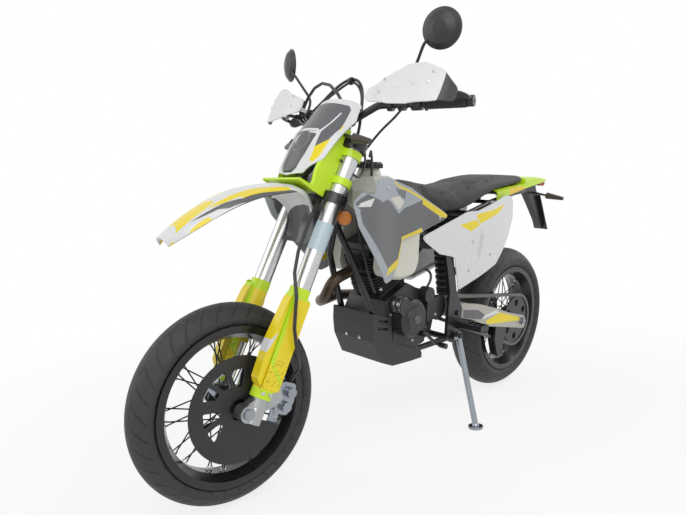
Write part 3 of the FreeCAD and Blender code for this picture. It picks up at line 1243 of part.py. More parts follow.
def fuel_tank():
    """Plastic tank: body astride the backbone, two side lobes and the filler neck."""
    cap_x, cap_z = CAP_CENTRE
    neck = taper((cap_x, 0, 880), (cap_x, 0, cap_z - 12), NECK_RADIUS + 30, NECK_RADIUS)
    whole = fused([tank_body(), neck] + both_sides(tank_lobe()))
    tunnel = pipe(backbone_points(), BACKBONE_RADIUS + SEAT_GAP, 120)
    slot = side_plate([(600, 700), (600, 752), (760, 792), (1000, 880), (1080, 920), (1080, 700)],
                      -BACKBONE_RADIUS - SEAT_GAP, BACKBONE_RADIUS + SEAT_GAP)
    engine_space = side_plate([(700, 560), (700, 786), (1000, 812), (1010, 560)], -74, 74)
    grown_head = rod(tuple(on_axis(600)), tuple(on_axis(860)), HEAD_TUBE_RADIUS + 4)
    return whole.cut(tunnel).cut(slot).cut(engine_space).cut(grown_head)


def fuel_cap():
    x, z = CAP_CENTRE
    low = z - 12 + SEAT_GAP
    return lathe_along([(0, 0), (CAP_RADIUS, 0), (CAP_RADIUS, 16), (CAP_RADIUS - 5, 21), (12, 21), (10, 28),
                        (0, 28)], (x, 0, low), (0, 0, 1))


SHROUD_OUTLINE = [(1200, 868), (1146, 897), (1088, 888), (1076, 912), (1064, 934), (1000, 940), (870, 906),
                  (640, 806), (652, 796), (800, 756), (916, 742), (926, 660), (948, 612), (984, 602), (1010, 632),
                  (1108, 734), (1168, 800)]


def shroud_side(x, z):
    """How far out the shroud stands at a point of its side view."""
    flare = blend([(600, 137), (800, 147), (950, 161), (1080, 187), (1210, 203)], x)
    return flare - 0.0006 * (z - 800) ** 2 * (1 if z > 800 else 0.6)


def tank_shrouds():
    sheet = skin(lambda x, z: (x, shroud_side(x, z), z), span(590, 1240, 10), span(580, 960, 6),
                 (0, -PANEL_WALL, 0))
    panel = sheet.common(side_plate(SHROUD_OUTLINE, 60, 260, 14))
    bosses = [rod((942, 60, 870), (942, shroud_side(942, 870) - 1, 870), 8),
              rod((760, 60, 806), (760, shroud_side(760, 806) - 1, 806), 8)]
    tank = fuel_tank()
    return both_sides(fused([panel] + [b.cut(tank) for b in bosses]))


PANEL_OUTLINE = [(782, 737), (640, 778), (510, 813), (435, 814), (205, 866), (150, 861), (134, 841), (137, 778),
                 (173, 701), (218, 642), (271, 594), (400, 556), (537, 521), (582, 648), (609, 656), (677, 670),
                 (760, 717)]


def panel_side(x, z):
    """How far out the side panel stands at a point of its side view."""
    plan = blend([(120, 112), (220, 126), (330, 137), (480, PANEL_SIDE), (640, PANEL_SIDE), (800, 137)], x)
    return plan - 0.0004 * (z - 720) ** 2 * (1 if z > 720 else 0.5)


def side_panels():
    sheet = skin(lambda x, z: (x, panel_side(x, z), z), span(110, 800, 9), span(500, 880, 6), (0, -PANEL_WALL, 0))
    panel = sheet.common(side_plate(PANEL_OUTLINE, 60, 200, 14))
    front = rod((604, PLATE_OUTER + SEAT_GAP, 704), (604, panel_side(604, 704) - 1, 704), 9)
    rear = rod((270, 88, 838), (270, panel_side(270, 838) - 1, 838), 7)
    return both_sides(fused([panel, front, rear]))


TAIL_SECTIONS = [(236, 94, 888, 846), (100, 80, 899, 866), (-20, 66, 906, 884), (-51, 60, 910, 888),
                 (-54, 60, 934, 888), (-130, 52, 939, 898), (-220, 42, 937, 908), (-314, 26, 930, 920)]


def tail_shell(inset, drop):
    wires = []
    for x, half, top, base in TAIL_SECTIONS:
        half, top, base = half - inset, top - inset, base - drop
        outline = [(-half, base), (-half, top - 8), (-half * 0.8, top), (half * 0.8, top), (half, top - 8),
                   (half, base)]
        wires.append(Part.makePolygon([Vector(x, y, z) for y, z in outline + outline[:1]]))
    return Part.makeLoft(wires, True, True)


def rear_fender():
    """Tail: a channel under the seat that runs on into the rear mudguard."""
    shell = tail_shell(0, 0).cut(tail_shell(4, 30))
    end_space = block(-60, 260, -24 - 3, 24 + 3, 840, 920)
    cross = [rod((x, -90, z), (x, 90, z), 8 + SEAT_GAP + 1) for x, z in ((262, 838),)]
    hanger = block(-74, -58, -40, 40, 885.8, 932)
    return fused([shell.cut(end_space).cut(Part.makeCompound(cross)), hanger])


def plate_bracket():
    """Bracket under the tail that carries the blank number plate."""
    arm = side_plate([(-136, 936), (-214, 935), (-236, 890), (-262, 846), (-344, 702), (-330, 694), (-222, 804),
                      (-162, 862), (-136, 890)], -17, 17)
    board = side_plate([(-250, 852), (-254, 855), (-356, 690), (-352, 688)], -34, 34)
    return fused([arm, board]).cut(tail_shell(-SEAT_GAP, 0).cut(tail_shell(4 + SEAT_GAP, 30)))


def tail_light():
    lens = side_plate([(-262, 931), (-304, 928), (-312, 905), (-300, 896), (-262, 898)], -22, 22)
    return lens.cut(tail_shell(-SEAT_GAP, 0).cut(tail_shell(4 + SEAT_GAP, 30)))


def rear_indicators():
    stem = rod((-216, 18.2, 866), (-212, 90, 856), 5)
    head = taper((-212, 88, 856), (-200, 168, 848), 15, 8)
    return both_sides(fused([stem, head]))


SKID_LINE = [(970, 488), (970, 440), (962, 390), (920, 312), (856, 287), (760, 283), (690, 283)]
SKID_TOP = [(690, 300), (700, 316), (830, 358), (862, 376), (872, 462), (950, 484)]
SKID_HALF = 92.0
SKID_WALL = 4.0


def skid_plate():
    """Bash plate: a folded tray under the engine with raised sides and lightening slots."""
    outer = side_plate(SKID_LINE + SKID_TOP, -SKID_HALF, SKID_HALF)
    inner_line = [(x - SKID_WALL, z + SKID_WALL) for x, z in SKID_LINE]
    inner = side_plate(inner_line[:-1] + [(640, SKID_LINE[-1][1] + SKID_WALL), (640, 600),
                                          (SKID_LINE[0][0] - SKID_WALL, 600)],
                       -SKID_HALF + SKID_WALL, SKID_HALF - SKID_WALL)
    tray = outer.cut(inner)
    slots = [side_plate([(892, z - 10), (940, z + 1), (938, z + 9), (890, z - 2)], -SKID_HALF - 2, SKID_HALF + 2, 3)
             for z in (456, 430)]
    lugs = both_sides(block(720, 760, CRADLE_HALF - 6, CRADLE_HALF + 6, SKID_LINE[-2][1],
                            CRADLE_LEVEL - CRADLE_RADIUS - SEAT_GAP))
    return fused([tray.cut(Part.makeCompound(slots))] + lugs)


def footpegs():
    """Serrated open footrests on the bracket at each side."""
    y0, y1 = BRACKET_OUTER + SEAT_GAP, BRACKET_OUTER + PEG_LENGTH
    outer = block(PEG_X - 26, PEG_X + 26, y0 + 14, y1, PEG_Z - 10, PEG_Z + 12)
    holes = [block(PEG_X - 20, PEG_X + 20, y0 + 20 + i * 22, y0 + 38 + i * 22, PEG_Z - 20, PEG_Z + 20)
             for i in range(3)]
    root = block(PEG_X - 14, PEG_X + 26, y0, y0 + 16, PEG_Z - 10, PEG_Z + 10)
    return both_sides(fused([outer.cut(Part.makeCompound(holes)), root]))


def foot_levers():
    """Gear lever on the left and brake pedal on the right."""
    gear = fused([pipe([(748, CASE_HALF + 24, 396), (748, 146, 396), (720, 150, 372), (690, 152, 350),
                        (688, 160, 348), (688, 192, 348)], 6, 12),
                  rod((688, 168, 348), (688, 196, 348), 10),
                  rod((748, CASE_HALF + SEAT_GAP, 392), (748, 138, 392), 10)])
    gear = gear.cut(crankcase())
    brake = fused([rod((574, -PLATE_OUTER - SEAT_GAP, 352), (574, -154, 352), 12),
                   pipe([(574, -148, 352), (640, -150, 338), (690, -158, 356), (704, -176, 362)], 7, 40),
                   block(690, 716, -196, -166, 358, 370)])
    return [gear, brake]


def side_stand():
    """Stand leg: an eye on the hinge pin, a straight tube and a flat sole on the ground."""
    pivot, axis, foot = Vector(*STAND_PIVOT), stand_axis(), stand_foot()
    up = ground_placement().inverse().Rotation.multVec(Vector(0, 0, 1))
    eye = rod(tuple(pivot - axis * STAND_EYE_HALF), tuple(pivot + axis * STAND_EYE_HALF), STAND_EYE)
    ankle = foot + up * 9
    leg = rod(tuple(pivot), tuple(ankle), STAND_TUBE)
    sole = rod(tuple(foot), tuple(foot + up * 9), STAND_FOOT_RADIUS)
    knuckle = Part.makeSphere(STAND_TUBE + 2, ankle)
    below = rod(tuple(foot - up * 40), tuple(foot), 60)
    bore = rod(tuple(pivot - axis * 20), tuple(pivot + axis * 20), STAND_PIN + RUNNING_GAP)
    cheeks = [rod(tuple(pivot + axis * side * STAND_EYE_HALF), tuple(pivot + axis * side * 30), STAND_EYE + 4)
              for side in (1, -1)]
    return fused([eye, leg, sole, knuckle]).cut(below).cut(bore).cut(Part.makeCompound(cheeks))


def chassis_parts():
    return {
        "main_frame": [main_frame()],
        "subframe": [subframe()],
        "crankcase": [crankcase()],
        "cylinder": cylinder(),
        "exhaust_header": [exhaust_header()],
        "silencer": [silencer()],
        "carburettor": carburettor(),
        "airbox": [airbox()],
        "fuel_tank": [fuel_tank()],
        "fuel_cap": [fuel_cap()],
        "tank_shrouds": tank_shrouds(),
        "side_panels": side_panels(),
        "seat": [seat()],
        "rear_fender": [rear_fender()],
        "plate_bracket": [plate_bracket()],
        "tail_light": [tail_light()],
        "rear_indicators": rear_indicators(),
        "skid_plate": [skid_plate()],
        "footpegs": footpegs(),
        "foot_levers": foot_levers(),
        "swingarm": [swingarm()],
        "shock_absorber": [shock_absorber()],
        "drive_chain": [drive_chain()],
        "chain_guide": [chain_guide()],
        "rear_axle": [rear_axle_piece()],
        "rear_caliper": [rear_caliper()],
        "side_stand": [side_stand()],
    }


# ---------------------------------------------------------------------------------------------
# The whole machine, stood on its stand
# ---------------------------------------------------------------------------------------------
def placed(shapes, placement):
    moved = []
    for shape in shapes:
        copy = shape.copy()
        copy.Placement = placement.multiply(copy.Placement)
        moved.append(copy)
    return moved


def machine():
    """Every node's solids in the ground frame, before centring."""
    ground = ground_placement()
    steered = ground.multiply(steered_placement())
    front = steered.multiply(Placement(Vector(AXLE_OFFSET, 0, 0), Rotation()))
    rear = ground.multiply(Placement(rear_axle(), Rotation()))
    nodes = {name: placed(shapes, ground) for name, shapes in chassis_parts().items()}
    nodes.update({name: placed(shapes, steered) for name, shapes in steering_parts().items()})
    nodes.update({name: placed([shape], front) for name, shape in front_wheel().items()})
    nodes.update({name: placed([shape], rear) for name, shape in rear_wheel().items()})
    return nodes


def footprint_shift(nodes):
    """Move that puts the origin at the middle of the footprint, on the ground."""
    box = FreeCAD.BoundBox()
    for shapes in nodes.values():
        for shape in shapes:
            box.add(shape.optimalBoundingBox(False))
    return Vector(-(box.XMin + box.XMax) / 2, -(box.YMin + box.YMax) / 2, -box.ZMin)


def joints(shift):
    """Joint centres and axes in the stored frame, in millimetres."""
    ground = ground_placement()
    steered = ground.multiply(steered_placement())
    across, up = Vector(0, 1, 0), Vector(0, 0, 1)
    return {
        "steering": (ground.multVec(on_axis(LOWER_CLAMP)) + shift, steered.Rotation.multVec(up)),
        "front_wheel_spin": (steered.multVec(Vector(AXLE_OFFSET, 0, 0)) + shift, steered.Rotation.multVec(across)),
        "rear_wheel_spin": (ground.multVec(rear_axle()) + shift, ground.Rotation.multVec(across)),
        "side_stand_fold": (ground.multVec(Vector(*STAND_PIVOT)) + shift, ground.Rotation.multVec(stand_axis())),
    }


def main():
    os.makedirs("parts", exist_ok=True)
    nodes = machine()
    shift = footprint_shift(nodes)
    for name, shapes in nodes.items():
        solids = [solid for shape in shapes for solid in shape.Solids]
        for solid in solids:
            solid.translate(shift)
        whole = solids[0] if len(solids) == 1 else Part.makeCompound(solids)
        whole.exportStep("parts/" + name + ".step")
        print(name, len(solids), round(sum(s.Volume for s in solids)), whole.isValid())
    for name, (centre, axis) in joints(shift).items():
        print(name, [round(c, 3) for c in centre], [round(c, 5) for c in axis])


if __name__ == "__main__":
    main()
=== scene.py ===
"""Looks of a road-going enduro motorcycle on its side stand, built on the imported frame."""

import json
import logging
import math
from dataclasses import dataclass, field
from enum import Enum
from typing import Any, Callable, Iterable, Optional, Sequence, Union

import bpy
from mathutils import Matrix, Vector


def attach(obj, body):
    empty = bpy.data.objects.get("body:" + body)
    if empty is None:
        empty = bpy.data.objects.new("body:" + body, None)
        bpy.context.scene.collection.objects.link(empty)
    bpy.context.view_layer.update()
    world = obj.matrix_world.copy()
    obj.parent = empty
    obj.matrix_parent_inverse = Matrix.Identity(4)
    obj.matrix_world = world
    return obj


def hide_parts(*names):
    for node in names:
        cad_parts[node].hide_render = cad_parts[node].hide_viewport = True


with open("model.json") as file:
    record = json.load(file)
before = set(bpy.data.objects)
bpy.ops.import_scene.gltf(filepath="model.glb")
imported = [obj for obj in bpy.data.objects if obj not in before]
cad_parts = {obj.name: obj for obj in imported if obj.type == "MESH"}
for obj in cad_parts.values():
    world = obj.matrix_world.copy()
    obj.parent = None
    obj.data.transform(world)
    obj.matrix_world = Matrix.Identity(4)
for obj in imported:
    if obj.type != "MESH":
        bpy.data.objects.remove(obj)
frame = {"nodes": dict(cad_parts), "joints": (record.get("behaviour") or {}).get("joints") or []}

LOG = logging.getLogger("motorcycle")
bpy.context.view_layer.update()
Colour = tuple[float, float, float]


# ---------------------------------------------------------------------------------------------
# Frames of the machine: upright chassis, steered front end and the wheels
# ---------------------------------------------------------------------------------------------
class Axes:
    """A right-handed frame in the model's space, in metres."""

    def __init__(self, origin: Vector, x: Vector, y: Vector, z: Vector) -> None:
        """Keeps the origin and the three unit directions."""
        self.origin, self.x, self.y, self.z = origin, x.normalized(), y.normalized(), z.normalized()

    def at(self, x: float, y: float, z: float) -> Vector:
        """A point given in millimetres of this frame, in the model's metres."""
        return self.origin + (self.x * x + self.y * y + self.z * z) * 0.001

    def way(self, direction: Sequence[float]) -> Vector:
        """A direction of this frame as a unit vector of the model."""
        return (self.x * direction[0] + self.y * direction[1] + self.z * direction[2]).normalized()

    def seat_at(self, point: Sequence[float], direction: Sequence[float]) -> Matrix:
        """A placement at a point of this frame, with its own z along a direction."""
        turn = self.way(direction).to_track_quat("Z", "Y").to_matrix().to_4x4()
        return Matrix.Translation(self.at(*point)) @ turn

    def land(self, node: str, point: Sequence[float], direction: Sequence[float]) -> Optional[Matrix]:
        """A placement on a CAD node's surface.

        Args:
            node: the CAD node that is met.
            point: where to look from, in millimetres of this frame.
            direction: which way to look.

        Returns:
            A placement where the surface is met, its z out of the surface, or None where it is missed.
        """
        way = self.way(direction)
        hit, place, normal, _ = frame["nodes"][node].ray_cast(self.at(*point), way)
        if not hit:
            LOG.warning("nothing of %s at %s", node, point)
            return None
        if normal.dot(way) > 0:
            normal = -normal
        return Matrix.Translation(place) @ normal.to_track_quat("Z", "Y").to_matrix().to_4x4()


class Machine:
    """Where the chassis and the front end stand, worked out from the joints."""

    RAKE = math.radians(26.5)
    AXLE_OFFSET = 0.062
    REAR_RADIUS = 0.311

    def __init__(self, joints: Sequence[dict]) -> None:
        """Reads the steering axis and both axles.

        Args:
            joints: the joints of the frame, with their positions and axes.
        """
        found = {joint["name"]: joint for joint in joints}
        steer = Vector(found["steering_turn"]["axis"]).normalized()
        front, rear = found["front_wheel_spin"], found["rear_wheel_spin"]
        side = Vector(front["axis"]).normalized()
        ahead = side.cross(steer).normalized()
        axle = Vector(front["pos_m"])
        self.fork = Axes(axle - ahead * self.AXLE_OFFSET, ahead, side, steer)
        self.front_wheel = Axes(axle, ahead, side, ahead.cross(side))
        side = Vector(rear["axis"]).normalized()
        ahead = side.cross(steer).normalized()
        up = ahead.cross(side)
        x = ahead * math.cos(self.RAKE) - up * math.sin(self.RAKE)
        z = ahead * math.sin(self.RAKE) + up * math.cos(self.RAKE)
        axle = Vector(rear["pos_m"])
        self.bike = Axes(axle - z * self.REAR_RADIUS, x, side, z)
        self.rear_wheel = Axes(axle, x, side, z)


# ---------------------------------------------------------------------------------------------
# Shader maths
# ---------------------------------------------------------------------------------------------
class Wire:
    """A value in a node tree, so that shader maths reads as plain expressions."""

    def __init__(self, board: "Board", socket: Any) -> None:
        """Wraps an output socket of the board."""
        self.board, self.socket = board, socket

    def _math(self, operation: str, *values: Union["Wire", float]) -> "Wire":
        """Adds one Math node and returns its result."""
        node = self.board.node("ShaderNodeMath", {"operation": operation}, dict(enumerate(values)))
        return Wire(self.board, node.outputs[0])

    def __add__(self, other: Any) -> "Wire":
        """Sum."""
        return self._math("ADD", self, other)

    def __sub__(self, other: Any) -> "Wire":
        """Difference."""
        return self._math("SUBTRACT", self, other)

    def __rsub__(self, other: Any) -> "Wire":
        """Difference, the other way round."""
        return self._math("SUBTRACT", other, self)

    def __mul__(self, other: Any) -> "Wire":
        """Product."""
        return self._math("MULTIPLY", self, other)

    def __truediv__(self, other: Any) -> "Wire":
        """Quotient."""
        return self._math("DIVIDE", self, other)

    def __gt__(self, other: Any) -> "Wire":
        """One where this is larger, nought elsewhere."""
        return self._math("GREATER_THAN", self, other)

    def __lt__(self, other: Any) -> "Wire":
        """One where this is smaller, nought elsewhere."""
        return self._math("LESS_THAN", self, other)

    def __abs__(self) -> "Wire":
        """Absolute value."""
        return self._math("ABSOLUTE", self)

    def least(self, other: Any) -> "Wire":
        """The smaller of two values, which is both of two masks."""
        return self._math("MINIMUM", self, other)

    def most(self, other: Any) -> "Wire":
        """The larger of two values, which is either of two masks."""
        return self._math("MAXIMUM", self, other)

    def sine(self) -> "Wire":
        """Sine of an angle in radians."""
        return self._math("SINE", self)

    def fraction(self) -> "Wire":
        """What is left above the whole number."""
        return self._math("FRACT", self)

    def root(self) -> "Wire":
        """Square root."""
        return self._math("SQRT", self)

    def angle_over(self, other: Any) -> "Wire":
        """Angle whose tangent is this over the other, all the way round."""
        return self._math("ARCTAN2", self, other)

    __radd__ = __add__
    __rmul__ = __mul__


class Board:
    """A material and its node tree, with the few nodes that the finishes share."""

    def __init__(self, name: str) -> None:
        """Starts a material that holds only its shader and output."""
        self.material = bpy.data.materials.new(name)
        self.material.use_nodes = True
        self.tree = self.material.node_tree
        self.shader = self.tree.nodes["Principled BSDF"]
        self._point: Optional[Any] = None

    def node(self, kind: str, settings: dict[str, Any], values: dict[Any, Any]) -> Any:
        """Adds a node.

        Args:
            kind: the node's type.
            settings: properties, set before the sockets.
            values: numbers, colours or wires by socket name or index.

        Returns:
            The new node.
        """
        made = self.tree.nodes.new(kind)
        for name, value in settings.items():
            setattr(made, name, value)
        for key, value in values.items():
            self.feed(made.inputs[key], value)
        return made

    def feed(self, socket: Any, value: Any) -> None:
        """Links a wire to a socket or sets its own value."""
        if isinstance(value, Wire):
            self.tree.links.new(value.socket, socket)
        elif isinstance(value, tuple) and len(value) == 3 and socket.type == "RGBA":
            socket.default_value = (*value, 1.0)
        else:
            socket.default_value = value

    def point(self) -> Wire:
        """The place on the piece, in the model's metres."""
        if self._point is None:
            self._point = self.node("ShaderNodeTexCoord", {}, {}).outputs["Object"]
        return Wire(self, self._point)

    def along(self, axis: Vector, origin: Vector) -> Wire:
        """Millimetres along an axis from an origin."""
        scaled = axis * 1000.0
        dot = self.node("ShaderNodeVectorMath", {"operation": "DOT_PRODUCT"},
                        {0: self.point(), 1: tuple(scaled)})
        return Wire(self, dot.outputs["Value"]) - scaled.dot(origin)

    def places(self, axes: Axes) -> tuple[Wire, Wire, Wire]:
        """Coordinates in millimetres in one of the machine's frames."""
        return tuple(self.along(axis, axes.origin) for axis in (axes.x, axes.y, axes.z))

    def noise(self, scale: float, detail: float = 3.0, stretch: Colour = (1, 1, 1)) -> Wire:
        """Soft noise between about 0.3 and 0.7, scale in waves a metre."""
        mapped = self.node("ShaderNodeMapping", {}, {"Vector": self.point(), "Scale": stretch})
        made = self.node("ShaderNodeTexNoise", {}, {"Vector": Wire(self, mapped.outputs[0]),
                                                    "Scale": scale, "Detail": detail})
        return Wire(self, made.outputs[0])

    def cells(self, scale: float, feature: str = "F1") -> Wire:
        """Distance to cell centres or edges."""
        made = self.node("ShaderNodeTexVoronoi", {"feature": feature}, {"Vector": self.point(), "Scale": scale})
        return Wire(self, made.outputs["Distance"])

    def blend(self, mask: Union[Wire, float], low: Any, high: Any) -> Wire:
        """Colour that goes from low to high with the mask."""
        made = self.node("ShaderNodeMix", {"data_type": "RGBA"}, {0: mask, 6: low, 7: high})
        return Wire(self, made.outputs[2])

    def inside(self, u: Wire, v: Wire, corners: Sequence[tuple[float, float]]) -> Wire:
        """One inside a convex outline, nought outside.

        Args:
            u: first coordinate.
            v: second coordinate.
            corners: the outline, in either turning direction.
        """
        ring = list(corners)
        area = sum(a[0] * b[1] - b[0] * a[1] for a, b in zip(ring, ring[1:] + ring[:1]))
        if area < 0:
            ring.reverse()
        mask = None
        for (a, b), (c, d) in zip(ring, ring[1:] + ring[:1]):
            here = v * (c - a) - u * (d - b) > b * (c - a) - a * (d - b)
            mask = here if mask is None else mask.least(here)
        return mask

    def print_shapes(self, base: Any, u: Wire, v: Wire, shapes: Sequence[tuple[Colour, Sequence]]) -> Any:
        """Lays coloured outlines over a base, the last on top."""
        for colour, corners in shapes:
            base = self.blend(self.inside(u, v, corners), base, colour)
        return base

    def raise_surface(self, height: Wire, strength: float, distance: float) -> None:
        """Feeds a bump to the shader's normal."""
        bump = self.node("ShaderNodeBump", {}, {"Strength": strength, "Distance": distance, "Height": height})
        self.feed(self.shader.inputs["Normal"], Wire(self, bump.outputs[0]))

    def set(self, **values: Any) -> None:
        """Sets sockets of the shader, underscores standing for spaces."""
        for name, value in values.items():
            self.feed(self.shader.inputs[name.replace("_", " ")], value)


# ---------------------------------------------------------------------------------------------
# Finishes
# ---------------------------------------------------------------------------------------------
WHITE: Colour = (0.74, 0.75, 0.76)
LIME: Colour = (0.58, 0.83, 0.02)
YELLOW: Colour = (0.88, 0.70, 0.012)
GREY: Colour = (0.115, 0.118, 0.125)
SILVER: Colour = (0.36, 0.39, 0.43)
CREAM: Colour = (0.66, 0.65, 0.57)
BLACK: Colour = (0.012, 0.012, 0.013)
STEEL: Colour = (0.62, 0.63, 0.64)


class Body(Enum):
    """Bodies of the frame that pieces ride on."""

    CHASSIS = "chassis"
    STEERING = "steering"
    FRONT_WHEEL = "front_wheel"
    REAR_WHEEL = "rear_wheel"
    SIDE_STAND = "side_stand"


@dataclass(frozen=True)
class Moulded:
    """Moulded plastic or rubber with a fine grain and faint handling marks."""

    name: str
    colour: Colour
    roughness: float = 0.45
    grain: float = 0.25
    grain_scale: float = 2600.0
    worn: float = 0.12

    def paint(self, board: Board) -> Any:
        """The base colour, before handling marks."""
        return self.colour

    def make(self) -> Any:
        """Builds the material."""
        board = Board(self.name)
        marks = board.noise(26.0, 5.0)
        fine = board.noise(self.grain_scale, 2.0)
        base = self.paint(board)
        dusty = board.blend(self.worn, base, (0.10, 0.10, 0.10))
        board.set(Base_Color=board.blend((marks - 0.5) * 1.6, base, dusty),
                  Roughness=self.roughness + (marks - 0.5) * 0.1)
        board.raise_surface(fine, self.grain, 0.00012)
        return board.material


@dataclass(frozen=True)
class Metal:
    """Bare or plated metal with a directional brushing and faint smudges."""

    name: str
    colour: Colour
    roughness: float = 0.32
    stretch: Colour = (1.0, 1.0, 1.0)
    scale: float = 900.0
    bump: float = 0.15

    def make(self) -> Any:
        """Builds the material."""
        board = Board(self.name)
        smudge, lines = board.noise(18.0, 4.0), board.noise(self.scale, 3.0, self.stretch)
        dull = tuple(c * 0.72 for c in self.colour)
        board.set(Base_Color=board.blend(smudge, self.colour, dull), Metallic=1.0,
                  Roughness=self.roughness + (lines - 0.5) * 0.25 + (smudge - 0.5) * 0.2)
        board.raise_surface(lines, self.bump, 0.0001)
        return board.material


@dataclass(frozen=True)
class Graphic(Moulded):
    """Glossy bodywork whose printed colours, with painted shade in places, follow the machine's own frames."""

    worn: float = 0.04
    draw: Optional[Callable[[Board], Wire]] = None

    def paint(self, board: Board) -> Any:
        """The printed pattern, with any painted shade in it."""
        return self.draw(board) if self.draw else self.colour


@dataclass(frozen=True)
class TwoPart:
    """One casting with two finishes, parted by a mask: a plain coat below and bright metal above."""

    name: str
    low: Colour
    high: Colour
    mask: Callable[[Board], Wire]
    low_roughness: float = 0.4
    high_roughness: float = 0.3

    def make(self) -> Any:
        """Builds the material."""
        board = Board(self.name)
        where, marks, fine = self.mask(board), board.noise(30.0, 4.0), board.noise(1500.0, 2.0)
        dull = tuple(c * 0.85 for c in self.high)
        board.set(Base_Color=board.blend(where, self.low, board.blend(marks, self.high, dull)), Metallic=where,
                  Roughness=self.low_roughness + where * (self.high_roughness - self.low_roughness)
                  + (marks - 0.5) * 0.08)
        board.raise_surface(fine, 0.1, 0.0001)
        return board.material


@dataclass(frozen=True)
class Lens:
    """Clear or tinted plastic lens over what lies behind it."""

    name: str
    colour: Colour
    alpha: float = 0.35

    def make(self) -> Any:
        """Builds the material."""
        board = Board(self.name)
        ribs = board.noise(420.0, 1.0)
        board.set(Base_Color=board.blend(ribs, self.colour, tuple(c * 0.8 for c in self.colour)),
                  Roughness=0.06 + ribs * 0.05, Alpha=self.alpha)
        board.raise_surface(ribs, 0.1, 0.0004)
        return board.material


def dress(nodes: Iterable[str], finish: Any) -> None:
    """Gives CAD nodes one finish."""
    material = finish.make()
    for name in nodes:
        for slot in frame["nodes"][name].material_slots:
            slot.material = material
